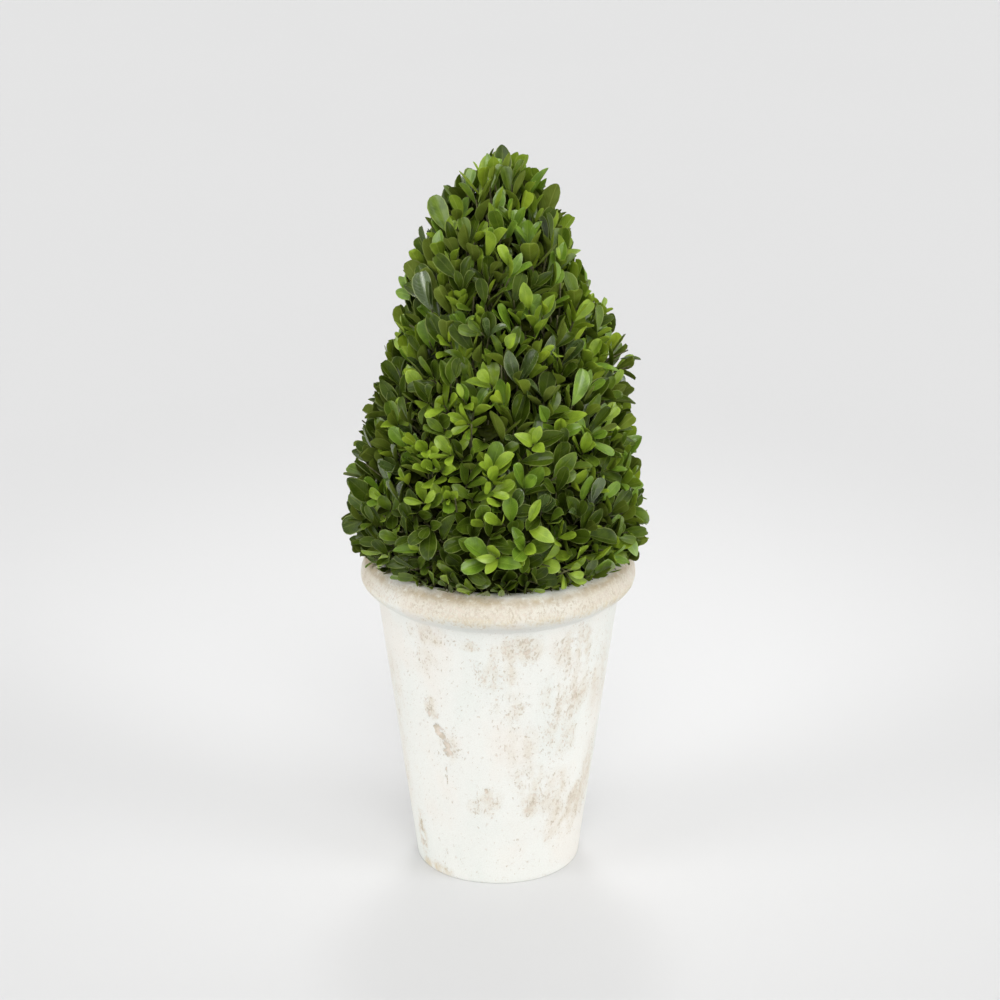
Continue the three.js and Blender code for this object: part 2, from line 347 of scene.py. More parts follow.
def new_group(name: str, inputs: dict[str, float], outputs: Iterable[str]) -> tuple[NodeTree, Shader]:
    """A new node group with number sockets.

    Args:
        name: what the group is called.
        inputs: each input's name and usual value.
        outputs: each output's name.

    Returns:
        The group and the builder of its nodes.
    """
    group = bpy.data.node_groups.new(name, "ShaderNodeTree")
    for label, value in inputs.items():
        socket = group.interface.new_socket(label, in_out="INPUT", socket_type="NodeSocketFloat")
        socket.default_value = value
    for label in outputs:
        group.interface.new_socket(label, in_out="OUTPUT", socket_type="NodeSocketFloat")
    return group, Shader(group)


def grain_group() -> NodeTree:
    """Crumbly relief and a slow mottle, for clay, soil and bark.

    Returns:
        The group, with outputs Grain and Mottle from 0 to 1.
    """
    known = bpy.data.node_groups.get("grain")
    if known:
        return known
    inputs = {"Fine Scale": 900, "Mottle Scale": 40, "Stretch": 1}
    group, shader = new_group("grain", inputs, ["Grain", "Mottle"])
    taken = shader.add("NodeGroupInput").outputs
    place = shader.add("ShaderNodeSeparateXYZ", {0: shader.object_place()}).outputs
    height = shader.times(place["Z"], taken["Stretch"])
    where = shader.add("ShaderNodeCombineXYZ", {0: place["X"], 1: place["Y"], 2: height}).outputs[0]
    marks = {
        "Grain": shader.noise(where, taken["Fine Scale"], 4.0),
        "Mottle": shader.noise(where, taken["Mottle Scale"], 5.0),
    }
    shader.add("NodeGroupOutput", marks)
    return group


def placed_grain(shader: Shader, fine: float, mottle: float, stretch: float = 1) -> tuple[Socket, Socket]:
    """Places the grain in a material.

    Args:
        shader: the material's nodes.
        fine: the scale of its crumbs.
        mottle: the scale of its mottle.
        stretch: how fast it changes upwards, as a share of how fast it changes sideways.

    Returns:
        The sockets of its grain and its mottle.
    """
    inputs = {"Fine Scale": fine, "Mottle Scale": mottle, "Stretch": stretch}
    marks = shader.add("ShaderNodeGroup", inputs, node_tree=grain_group()).outputs
    return marks["Grain"], marks["Mottle"]


def leaf_group() -> NodeTree:
    """The markings of a leaf, from its own map: midrib, a pale margin that is a painted highlight, side veins
    and foot.

    Returns:
        The group, with outputs Rib, Margin (the mask of the painted edge highlight), Vein and Foot from 0 to
        1.
    """
    known = bpy.data.node_groups.get("leaf_markings")
    if known:
        return known
    middle, foot_share, slant, full_turn = 0.5, 0.4, 0.55, 6.283
    inputs = {"Rib Width": 0.05, "Margin Width": 0.068, "Veins": 11}
    group, shader = new_group("leaf_markings", inputs, ["Rib", "Margin", "Vein", "Foot"])
    taken = shader.add("NodeGroupInput").outputs
    place = shader.add("ShaderNodeTexCoord").outputs["UV"]
    parts = shader.add("ShaderNodeSeparateXYZ", {0: place}).outputs
    across = shader.math("ABSOLUTE", shader.minus(parts["X"], middle))
    rib = shader.minus(1.0, shader.math("DIVIDE", across, taken["Rib Width"]))
    edge = shader.minus(across, shader.minus(middle, taken["Margin Width"]))
    slanted = shader.minus(parts["Y"], shader.times(across, slant))
    waves = shader.math("SINE", shader.times(slanted, shader.times(taken["Veins"], full_turn)))
    marks = {
        "Rib": shader.ramp(rib, 0.0, 0.7), "Margin": shader.ramp(edge, 0.0, 0.05),
        "Vein": shader.ramp(waves, 0.2, 1.0),
        "Foot": shader.ramp(shader.minus(foot_share, parts["Y"]), 0.0, foot_share),
    }
    shader.add("NodeGroupOutput", marks)
    return group


# ---------------------------------------- finishes


@dataclass(frozen=True)
class Whitewash:
    """Thin lime wash over sandy clay, worn through in specks, chips and streaks."""

    wash: Colour = (0.795, 0.800, 0.760)
    warm_wash: Colour = (0.800, 0.780, 0.730)
    cool_wash: Colour = (0.770, 0.788, 0.748)
    clay: Colour = (0.70, 0.61, 0.52)
    dark_clay: Colour = (0.54, 0.46, 0.35)
    tan: Colour = (0.53, 0.44, 0.31)
    sand: Colour = (0.70, 0.62, 0.45)
    cream: Colour = (0.705, 0.642, 0.530)
    grit: Colour = (0.50, 0.455, 0.38)
    drawn_out: Point = (1, 1, 0.6)
    speck_scale: float = 720
    clump_scale: float = 260
    clump_share: float = 0.3
    worn_share: float = 0.125
    chip_scale: float = 300
    chip_raggedness: float = 2.2
    clay_scale: float = 160
    clay_share: float = 0.85
    patch_scale: float = 230
    grit_scale: float = 1300
    grit_share: float = 0.12
    worn_grit_share: float = 0.16
    masks: str = "wear"

    def bared(self, shader: Shader, speck: Socket, clump: Socket, worn: Socket, chip: Socket) -> Socket:
        """Where the clay shows through, in specks that gather on worn places and in ragged chips.

        Args:
            shader: the material's nodes.
            speck: the noise that the specks are cut from.
            clump: the slower noise that gathers them.
            worn: the mask of the worn places.
            chip: the mask of the chips.

        Returns:
            The socket of the mask.
        """
        strewn = shader.plus(speck, shader.times(shader.minus(clump, speck), self.clump_share))
        specks = shader.ramp(shader.plus(shader.times(worn, self.worn_share), strewn), 0.618, 0.655, 0.76)
        coarse = shader.noise(shader.object_place(), self.chip_scale, 4.0, 0.7)
        ragged = shader.plus(chip, shader.times(shader.minus(coarse, 0.5), self.chip_raggedness))
        return shader.math("MAXIMUM", specks, shader.ramp(ragged, 0.50, 0.72))

    def coat(self, shader: Shader, worn: Socket, mottle: Socket) -> Socket:
        """The colour of the wash, mottled, and creamier where it is worn.

        Args:
            shader: the material's nodes.
            worn: the mask of the worn places.
            mottle: the slow mottle.

        Returns:
            The socket of the colour.
        """
        wash = shader.mixed(shader.ramp(mottle, 0.5, 0.66), self.wash, self.warm_wash)
        wash = shader.mixed(shader.ramp(mottle, 0.5, 0.32), wash, self.cool_wash)
        stain = shader.ramp(shader.plus(worn, shader.times(mottle, 0.5)), 0.3, 1.5, 0.90)
        return shader.mixed(stain, wash, self.cream)

    def make(self) -> Material:
        """Builds the material.

        Returns:
            The material. It reads the piece's own masks: worn areas, chips and the rim's two bands.
        """
        material, shader = new_material("whitewashed_clay")
        where = shader.object_place()
        grain, mottle = placed_grain(shader, 1100, 26, 0.55)
        masks = shader.add("ShaderNodeAttribute", attribute_name=self.masks)
        worn, chip, band = shader.add("ShaderNodeSeparateColor", {0: masks.outputs["Color"]}).outputs
        stretch = {0: where, 1: self.drawn_out}
        drawn = shader.add("ShaderNodeVectorMath", stretch, operation="MULTIPLY").outputs[0]
        speck = shader.noise(drawn, self.speck_scale, 2.0, 0.6)
        clump = shader.noise(drawn, self.clump_scale, 3.0, 0.6)
        bare = self.bared(shader, speck, clump, worn, chip)
        lumpy = shader.ramp(shader.noise(where, self.clay_scale, 3.0), 0.42, 0.62)
        clay = shader.mixed(lumpy, self.clay, self.dark_clay)
        skin = shader.mixed(shader.times(bare, self.clay_share), self.coat(shader, worn, mottle), clay)
        sandy = shader.times(masks.outputs["Alpha"], shader.ramp(speck, 0.25, 0.6, 0.9))
        skin = shader.mixed(sandy, skin, self.sand)
        patchy = shader.ramp(shader.noise(where, self.patch_scale, 4.0, 0.65), 0.24, 0.54)
        skin = shader.mixed(shader.times(band, patchy), skin, self.tan)
        gritty = shader.ramp(shader.noise(where, self.grit_scale, 2.0, 0.6), 0.42, 0.66)
        share = shader.plus(shader.times(worn, self.worn_grit_share), self.grit_share)
        skin = shader.mixed(shader.times(gritty, share), skin, self.grit)
        height = shader.minus(shader.times(grain, 0.5), bare)
        finish_surface(
            shader,
            {
                "Base Color": skin, "Roughness": shader.plus(shader.times(bare, 0.08), 0.86),
                "Normal": relief_normal(shader, height, 0.0004, 0.8), "Specular IOR Level": 0.25,
            },
        )
        return material


@dataclass(frozen=True)
class Soil:
    """Dark crumbly potting soil."""

    damp: Colour = (0.022, 0.015, 0.010)
    dry: Colour = (0.085, 0.060, 0.040)
    crumb_height: float = 0.002

    def make(self) -> Material:
        """Builds the material.

        Returns:
            The material.
        """
        material, shader = new_material("potting_soil")
        grain, mottle = placed_grain(shader, 500, 90)
        tint = shader.mixed(shader.ramp(mottle, 0.35, 0.65), self.damp, self.dry)
        normal = relief_normal(shader, grain, self.crumb_height)
        finish_surface(shader, {"Base Color": tint, "Roughness": 0.95, "Normal": normal})
        return material


@dataclass(frozen=True)
class Bark:
    """Bark in two tints, furrowed along the limb."""

    name: str
    ridge: Colour
    furrow: Colour
    stretch: float = 0.25
    furrow_depth: float = 0.0008

    def make(self) -> Material:
        """Builds the material.

        Returns:
            The material.
        """
        material, shader = new_material(self.name)
        grain, mottle = placed_grain(shader, 700, 120, self.stretch)
        tint = shader.mixed(shader.ramp(grain, 0.38, 0.62), self.furrow, self.ridge)
        tint = shader.mixed(shader.ramp(mottle, 0.45, 0.7, 0.5), tint, self.furrow)
        normal = relief_normal(shader, grain, self.furrow_depth)
        finish_surface(shader, {"Base Color": tint, "Roughness": 0.85, "Normal": normal})
        return material


@dataclass(frozen=True)
class LeafSkin:
    """One side of a leaf in one of the crown's tones."""

    base: Colour
    deep: Colour
    rib: Colour
    margin: Colour
    rough: float
    specular: float
    coat: float = 0.0
    coat_rough: float = 0.3
    rib_share: float = 0.5
    edge_highlight_share: float = 0.5
    blotch_scale: float = 130
    pore_scale: float = 1400
    relief: float = 0.00025

    def make(self, name: str) -> Material:
        """Builds the material.

        Args:
            name: what the material is called.

        Returns:
            The material, with the leaf's midrib, veins and a painted highlight along its margin, from its own
            map.
        """
        material, shader = new_material(name)
        where = shader.object_place()
        marks = shader.add("ShaderNodeGroup", {}, node_tree=leaf_group()).outputs
        blotch = shader.noise(where, self.blotch_scale, 3.0)
        tint = shader.mixed(shader.ramp(blotch, 0.36, 0.64), self.deep, self.base)
        # The margin colour is a painted highlight, where the leaf's edge catches the light.
        marked = (
            ("Foot", 0.5, self.deep), ("Vein", 0.1, self.rib), ("Rib", self.rib_share, self.rib),
            ("Margin", self.edge_highlight_share, self.margin),
        )
        for mark, share, colour in marked:
            tint = shader.mixed(shader.times(marks[mark], share), tint, colour)
        pores = shader.noise(where, self.pore_scale, 2.0)
        height = shader.plus(shader.times(marks["Vein"], -0.35), shader.times(pores, 0.5))
        rough = shader.plus(shader.times(blotch, 0.2), self.rough - 0.1)
        finish_surface(
            shader,
            {
                "Base Color": tint, "Roughness": rough,
                "Normal": relief_normal(shader, height, self.relief, 0.6),
                "Specular IOR Level": self.specular, "Coat Weight": self.coat,
                "Coat Roughness": self.coat_rough,
            },
        )
        return material


@dataclass(frozen=True)
class Backdrop:
    """Even pale studio floor, very slightly mottled."""

    pale: Colour = (0.658, 0.658, 0.658)
    shade: Colour = (0.646, 0.646, 0.646)
    mottle_scale: float = 1.5

    def make(self) -> Material:
        """Builds the material.

        Returns:
            The material.
        """
        material, shader = new_material("studio_floor")
        mottle = shader.noise(shader.object_place(), self.mottle_scale)
        tint = shader.mixed(mottle, self.pale, self.shade)
        finish_surface(shader, {"Base Color": tint, "Roughness": 0.9, "Specular IOR Level": 0.1})
        return material


class Tone(Enum):
    """The crown's leaf tones, dealt out by sprig."""

    # SHADE is painted shade: a darker copy of the leaf colours for leaves deep inside the crown.
    SHADE = 0
    DEEP = 1
    GREEN = 2
    FRESH = 3
    LIME = 4
    GLOSS = 5


# The fourth colour of each skin is its margin: a painted highlight along the leaf's edge.
LEAF_FACES = {
    # painted shade for the leaves deep inside the crown
    Tone.SHADE: LeafSkin(
        (0.040, 0.052, 0.004), (0.022, 0.029, 0.002), (0.05, 0.06, 0.007), (0.05, 0.06, 0.007),
        rough=0.6, specular=0.1,
    ),
    Tone.DEEP: LeafSkin(
        (0.058, 0.094, 0.005), (0.032, 0.056, 0.003), (0.12, 0.16, 0.03), (0.24, 0.29, 0.08),
        rough=0.36, specular=0.08, coat=0.22, coat_rough=0.16, edge_highlight_share=0.75,
    ),
    Tone.GREEN: LeafSkin(
        (0.126, 0.198, 0.014), (0.074, 0.126, 0.009), (0.18, 0.25, 0.03), (0.30, 0.37, 0.09),
        rough=0.36, specular=0.16, coat=0.48, coat_rough=0.22, edge_highlight_share=0.7,
    ),
    Tone.FRESH: LeafSkin(
        (0.180, 0.305, 0.022), (0.112, 0.205, 0.014), (0.26, 0.39, 0.05), (0.34, 0.46, 0.10),
        rough=0.38, specular=0.25, coat=0.65, coat_rough=0.24, edge_highlight_share=0.55,
    ),
    Tone.LIME: LeafSkin(
        (0.305, 0.440, 0.030), (0.200, 0.308, 0.018), (0.40, 0.52, 0.07), (0.42, 0.53, 0.09),
        rough=0.45, specular=0.25, coat=0.55, coat_rough=0.28, rib_share=0.3,
    ),
    Tone.GLOSS: LeafSkin(
        (0.072, 0.118, 0.022), (0.044, 0.074, 0.013), (0.17, 0.22, 0.07), (0.30, 0.35, 0.14),
        rough=0.27, specular=0.5, coat=1.0, coat_rough=0.2, edge_highlight_share=0.65,
    ),
}
LEAF_BACKS = {
    # painted shade, as on the faces
    Tone.SHADE: LeafSkin(
        (0.056, 0.070, 0.009), (0.030, 0.040, 0.004), (0.06, 0.07, 0.01), (0.06, 0.07, 0.01),
        rough=0.7, specular=0.1,
    ),
    Tone.DEEP: LeafSkin(
        (0.125, 0.170, 0.021), (0.100, 0.135, 0.012), (0.22, 0.26, 0.05), (0.25, 0.30, 0.08),
        rough=0.55, specular=0.15,
    ),
    Tone.GREEN: LeafSkin(
        (0.175, 0.243, 0.024), (0.138, 0.188, 0.013), (0.28, 0.33, 0.06), (0.30, 0.36, 0.09),
        rough=0.55, specular=0.15,
    ),
    Tone.FRESH: LeafSkin(
        (0.235, 0.335, 0.024), (0.170, 0.258, 0.016), (0.32, 0.42, 0.07), (0.33, 0.43, 0.09),
        rough=0.55, specular=0.15,
    ),
    Tone.LIME: LeafSkin(
        (0.315, 0.432, 0.030), (0.250, 0.345, 0.018), (0.40, 0.50, 0.08), (0.40, 0.50, 0.09),
        rough=0.55, specular=0.15,
    ),
    Tone.GLOSS: LeafSkin(
        (0.152, 0.196, 0.028), (0.110, 0.150, 0.018), (0.24, 0.29, 0.07), (0.26, 0.31, 0.09),
        rough=0.5, specular=0.25,
    ),
}


def leaf_skins() -> dict[Tone, tuple[Material, Material]]:
    """Builds the materials of each tone's faces and backs."""
    skins = {}
    for tone in Tone:
        name = f"leaf_{tone.name.lower()}"
        skins[tone] = (LEAF_FACES[tone].make(name), LEAF_BACKS[tone].make(f"{name}_back"))
    return skins


# ---------------------------------------- pot


@dataclass(frozen=True)
class Patch:
    """A worn place on the pot."""

    azimuth: float
    height: float
    half_turn: float
    half_height: float
    strength: float
    lean: float = 0.0

    def weight(self, azimuth: Array, z: Array) -> Array:
        """How strongly the patch shows at each place, from 0 to its strength.

        Args:
            azimuth: angles round the pot, in degrees.
            z: heights in metres.

        Returns:
            The weights.
        """
        rise = (z - self.height) / self.half_height
        turn = half_turned(azimuth - self.azimuth - self.lean * rise)
        return self.strength * np.clip(1.25 - (turn / self.half_turn) ** 2 - rise**2, 0, 1)


@dataclass(frozen=True)
class Deal:
    """Worn places dealt out over the back of the pot: how many, and between what sizes."""

    count: int
    turn: float
    half_turn: Span
    half_height: Span
    strength: Span
    heights: Span = (0.02, 0.195)

    def patches(self, draw: Draw) -> list[Patch]:
        """The patches that a seeded draw gives."""
        spans = ((0, self.turn), self.heights, self.half_turn, self.half_height, self.strength)
        return [Patch(*(draw.uniform(*span) for span in spans)) for _ in range(self.count)]


@dataclass(frozen=True)
class Girdle:
    """A band of colour round the rim: its height, how far it fades, and how full its heart is."""

    height: float
    half: float
    heart: float

    def weight(self, z: Array) -> Array:
        """How strongly the band shows at each height."""
        return np.clip(self.heart - np.abs(z - self.height) / self.half, 0, 1)


@dataclass(frozen=True)
class Stir:
    """How much of each noise a mask takes up, over its base."""

    base: float
    broad: float = 0.0
    streak: float = 0.0
    fine: float = 0.0

    def stirred(self, mask: Array, grains: dict[str, Array]) -> Array:
        """The mask made uneven by the noises, from 0 to 1."""
        uneven = self.base + self.broad * grains["broad"]
        uneven = uneven + self.streak * grains["streak"] + self.fine * grains["fine"]
        return np.clip(mask * uneven, 0, 1)


@dataclass
class Pot:
    """The turned, round-rimmed clay pot."""

    height: float = 0.2295
    base_radius: float = 0.0574
    base_round: float = 0.0005
    neck_radius: float = 0.0838
    neck_z: float = 0.201
    rim_radius: float = 0.095
    rim_widest_z: float = 0.214
    rim_underside_z: float = 0.205
    crest_radius: float = 0.0845
    mouth_radius: float = 0.075
    mouth_z: float = 0.218
    wall: float = 0.0095
    floor: float = 0.012
    steps: int = 390
    spacing: float = 0.00125
    inner_spacing: float = 0.009
    roll_steps: int = 56
    crease: float = 40
    lump: float = 0.00035
    fine_lump_share: float = 0.3
    chip_depth: float = 0.00035
    pit_depth: float = 0.0001
    flat_foot: float = 0.0008
    flat_floor: float = 0.05
    broad: Grain = Grain(22, 3.1)
    fine: Grain = Grain(190, 7.7)
    tiny: Grain = Grain(480, 1.3, 2)
    streak: Grain = Grain(160, 5.2)
    streak_squash: float = 0.25
    wear_stir: Stir = Stir(0.80, broad=0.6, streak=0.6, fine=0.4)
    chip_stir: Stir = Stir(0.95, fine=0.8)
    band_stir: Stir = Stir(0.9, broad=0.4, fine=0.4)
    speckle_stir: Stir = Stir(0.85, broad=0.5)
    sand_stir: Stir = Stir(0.42, broad=0.5, fine=0.6)
    scuff_stir: Stir = Stir(0.7, streak=0.5, fine=0.8)
    band_z: float = 0.2255
    band_wander: float = 0.0012
    band_half: float = 0.0029
    speckle: Girdle = Girdle(0.2190, 0.011, 1.25)
    sand: Girdle = Girdle(0.2118, 0.0042, 1.30)
    seed: int = 11
    chips: tuple[Patch, ...] = (
        Patch(-123.2, 0.119, 3.9, 0.0070, 0.9, -1.5), Patch(-119.0, 0.106, 4.2, 0.0074, 1.0, -1.0),
        Patch(-121.0, 0.084, 1.1, 0.0090, 0.9), Patch(-129.0, 0.131, 1.6, 0.0050, 0.7, 1.0),
        Patch(-133.0, 0.177, 0.5, 0.0095, 0.7, -1.6), Patch(-151.0, 0.028, 2.0, 0.0180, 0.6, 1.5),
        Patch(-118.5, 0.063, 1.4, 0.0024, 0.55), Patch(-97.0, 0.077, 1.8, 0.0034, 0.7),
        Patch(-70.0, 0.016, 1.6, 0.0012, 0.6), Patch(-90.0, 0.117, 0.6, 0.0080, 0.45, -2.2),
        Patch(-112.0, 0.193, 2.5, 0.0030, 0.55), Patch(-84.0, 0.189, 2.4, 0.0040, 0.6),
        Patch(-76.0, 0.185, 2.2, 0.0034, 0.6), Patch(-51.0, 0.186, 3.0, 0.0060, 0.6, 1.0),
        Patch(-53.0, 0.172, 2.2, 0.0050, 0.55, 2.0),
    )
    worn: tuple[Patch, ...] = (
        Patch(-80.0, 0.187, 15.0, 0.0130, 0.62), Patch(-90.0, 0.168, 12.0, 0.0170, 0.62),
        Patch(-84.0, 0.143, 11.0, 0.0180, 0.52), Patch(-78.0, 0.112, 14.0, 0.0200, 0.52),
        Patch(-72.0, 0.083, 13.0, 0.0170, 0.60), Patch(-48.0, 0.180, 17.0, 0.0220, 0.86),
        Patch(-52.0, 0.148, 18.0, 0.0260, 0.72), Patch(-54.0, 0.115, 13.0, 0.0220, 0.56, -3.0),
        Patch(-70.0, 0.064, 8.0, 0.0130, 0.72), Patch(-95.0, 0.068, 9.0, 0.0140, 0.62, 2.0),
        Patch(-104.0, 0.062, 6.0, 0.0080, 0.50), Patch(-55.0, 0.070, 12.0, 0.0220, 0.56, 4.0),
        Patch(-50.0, 0.046, 10.0, 0.0200, 0.74, 5.0), Patch(-36.0, 0.050, 11.0, 0.0240, 0.95, 5.0),
        Patch(-22.0, 0.070, 12.0, 0.0400, 0.50, 3.0), Patch(-24.0, 0.150, 14.0, 0.0400, 0.42),
        Patch(-126.0, 0.193, 15.0, 0.0090, 0.82), Patch(-104.0, 0.190, 7.0, 0.0050, 0.60),
        Patch(-128.0, 0.172, 9.0, 0.0140, 0.40), Patch(-151.0, 0.026, 7.0, 0.0220, 1.0),
        Patch(-139.0, 0.004, 18.0, 0.0060, 1.0), Patch(-127.0, 0.136, 6.0, 0.0110, 0.62),
        Patch(-118.0, 0.108, 7.0, 0.0160, 0.45), Patch(-160.0, 0.120, 13.0, 0.0500, 0.45),
    )
    scuff: Patch = Patch(-141.0, 0.002, 17.0, 0.0050, 0.9)
    back_worn: Deal = Deal(34, 195, (5, 13), (0.012, 0.036), (0.4, 0.9))
    back_chips: Deal = Deal(12, 200, (0.8, 3), (0.003, 0.01), (0.6, 1))
    slot: str = "pot_clay"
    piece: Piece = field(init=False, default=None)

    def profile(self) -> list[tuple[float, float]]:
        """The pot's section, from the middle of its foot round the rim to the middle of its floor.

        Returns:
            The radius and height of each point.
        """
        foot = [
            (0, 0), (self.base_radius - self.base_round, 0),
            (self.base_radius - 0.3 * self.base_round, 0.3 * self.base_round),
            (self.base_radius + 0.0001, self.base_round),
        ]
        roll = curve_through(
            [
                (self.neck_radius, self.neck_z),
                (self.neck_radius + 0.0036, self.rim_underside_z - 0.0006),
                (self.rim_radius - 0.003, self.rim_underside_z + 0.0025),
                (self.rim_radius, self.rim_widest_z), (self.rim_radius - 0.0034, self.height - 0.005),
                (self.crest_radius, self.height), (self.mouth_radius + 0.0036, self.height - 0.0034),
                (self.mouth_radius, self.mouth_z),
            ],
            self.roll_steps,
        )
        outside = spaced([*foot[3:], roll[0]], self.spacing)
        head = (self.mouth_radius - 0.001, self.neck_z - 0.012)
        foot_in = self.base_radius - self.wall + 0.0015
        inside = spaced([roll[-1], head, (foot_in, self.floor + 0.004)], self.inner_spacing)
        centre = [(foot_in - 0.0045, self.floor), (0, self.floor)]
        return [*foot[:3], *outside[:-1], *roll, *inside[1:], *centre]

    def body_masks(
        self, places: Array, radius: Array, grains: dict[str, Array]
    ) -> tuple[Array, Array, Array]:
        """The wear below the rim: listed in front, with more dealt out over the back.

        Args:
            places: the vertices' places.
            radius: how far each is from the axis.
            grains: the noises.

        Returns:
            The masks of the worn places, the chips and the scuffed foot.
        """
        draw = np.random.default_rng(self.seed)
        worn = [*self.worn, *self.back_worn.patches(draw)]
        chips = [*self.chips, *self.back_chips.patches(draw)]
        z = places[:, 2]
        azimuth = np.degrees(np.arctan2(places[:, 1], places[:, 0]))
        body = (radius > self.base_radius * 0.9) & (z < self.neck_z + 0.004)
        wear = np.clip(np.max([patch.weight(azimuth, z) for patch in worn], axis=0), 0, 1) * body
        wear = self.wear_stir.stirred(wear, grains)
        chip = np.max([patch.weight(azimuth, z) for patch in chips], axis=0) * body
        chip = self.chip_stir.stirred(chip, grains)
        flaked = np.clip((wear * 0.9 + 0.8 * grains["fine"] - 1.15) * 3, 0, 0.6) * body
        scuff = self.scuff_stir.stirred(self.scuff.weight(azimuth, z) * body, grains)
        return wear, np.maximum(chip, flaked), scuff

    def rim_masks(
        self, places: Array, radius: Array, grains: dict[str, Array]
    ) -> tuple[Array, Array, Array]:
        """The bands round the rim.

        Args:
            places: the vertices' places.
            radius: how far each is from the axis.
            grains: the noises.

        Returns:
            The masks of the tan band, the speckled band and the sandy edge.
        """
        z = places[:, 2]
        roll = z > self.rim_underside_z - 0.003
        outer = roll & (radius > self.crest_radius)
        off = z - self.band_z - self.band_wander * grains["broad"]
        band = self.band_stir.stirred(np.exp(-((off / self.band_half) ** 2)) * outer, grains)
        speckle = self.speckle_stir.stirred(self.speckle.weight(z) * outer, grains)
        sand = self.sand.weight(z) * (radius > self.rim_radius - 0.008) * roll
        return band, speckle, self.sand_stir.stirred(sand, grains)

    def build(self) -> Piece:
        """Turns the pot and gives its skin lumps and chips.

        Returns:
            The piece, with the masks that its finish reads.
        """
        self.piece = turned("whitewashed_pot", self.profile(), self.steps)
        places = points_of(self.piece.data)
        radius = np.hypot(places[:, 0], places[:, 1])
        grains = {name: getattr(self, name).over(places) for name in ("broad", "fine", "tiny")}
        grains["streak"] = self.streak.over(places * (1, 1, self.streak_squash))
        wear, chip, scuff = self.body_masks(places, radius, grains)
        band, speckle, sand = self.rim_masks(places, radius, grains)
        wear = np.maximum(wear, speckle)
        self.sink(places, radius, grains, wear, chip)
        masks = np.stack([wear, chip, band, np.maximum(sand, scuff)], axis=1)
        layer = self.piece.data.attributes.new("wear", "FLOAT_COLOR", "POINT")
        layer.data.foreach_set("color", masks.ravel())
        smoothed(self.piece, self.crease)
        return self.piece

    def sink(
        self, places: Array, radius: Array, grains: dict[str, Array], wear: Array, chip: Array,
    ) -> None:
        """Moves the skin in and out: slow lumps all over, fine grain, and the depth of the chips.

        Args:
            places: the vertices' places.
            radius: how far each is from the axis.
            grains: the noises.
            wear: the mask of the worn places.
            chip: the mask of the chips.
        """
        normals = np.empty(len(places) * 3)
        self.piece.data.vertices.foreach_get("normal", normals)
        lumps = self.lump * grains["broad"] + self.fine_lump_share * self.lump * grains["fine"]
        depth = lumps + self.pit_depth * grains["tiny"] * (0.4 + wear)
        depth -= self.chip_depth * np.clip((chip - 0.3) * 2.5, 0, 1)
        z = places[:, 2]
        depth = np.where((z > self.flat_foot) & (radius > self.flat_floor), depth, 0)
        over_soil = (radius < self.neck_radius - 0.004) & (z > 0.19)
        depth = np.where(over_soil & (depth > 0), 0, depth)
        move_points(self.piece.data, places + normals.reshape(-1, 3) * depth[:, None])

    def dress(self) -> None:
        """Gives the pot its whitewash and its place in the frame."""
        self.piece.data.materials.append(Whitewash().make())
        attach(self.piece, BODY)
        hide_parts("pot")


@dataclass
class SoilTop:
    """The soil that fills the pot to just under its rim."""

    top: float = 0.211
    floor: float = 0.0123
    head_z: float = 0.189
    head_radius: float = 0.0728
    foot_radius: float = 0.0482
    foot_bevel: float = 0.0048
    spacing: float = 0.0018
    steps: int = 120
    crumb: float = 0.0012
    crumbs: Grain = Grain(260, 4.4)
    clods: Grain = Grain(60, 9.1)
    clod_share: float = 0.5
    slot: str = "potting_soil"
    piece: Piece = field(init=False, default=None)

    def build(self) -> Piece:
        """Turns the soil and roughens its top into crumbs.

        Returns:
            The piece.
        """
        side = [
            (0, self.floor), (self.foot_radius - self.foot_bevel, self.floor),
            (self.foot_radius, self.floor + 0.0047), (self.head_radius, self.head_z),
        ]
        rings = spaced([(self.head_radius, self.top), (0, self.top)], self.spacing)
        self.piece = turned("potting_soil_fill", [*side, *rings], self.steps)
        places = points_of(self.piece.data)
        for i in np.flatnonzero(places[:, 2] > self.top - 1e-5):
            here = Vector(places[i])
            sunk = abs(self.crumbs.at(here)) + self.clod_share * self.clods.at(here)
            places[i, 2] -= self.crumb * min(max(sunk, 0), 1.2)
        move_points(self.piece.data, places)
        return self.piece

    def dress(self) -> None:
        """Gives the soil its finish and its place in the frame."""
        self.piece.data.materials.append(Soil().make())
        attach(self.piece, BODY)
        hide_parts("soil")


# ---------------------------------------- stem


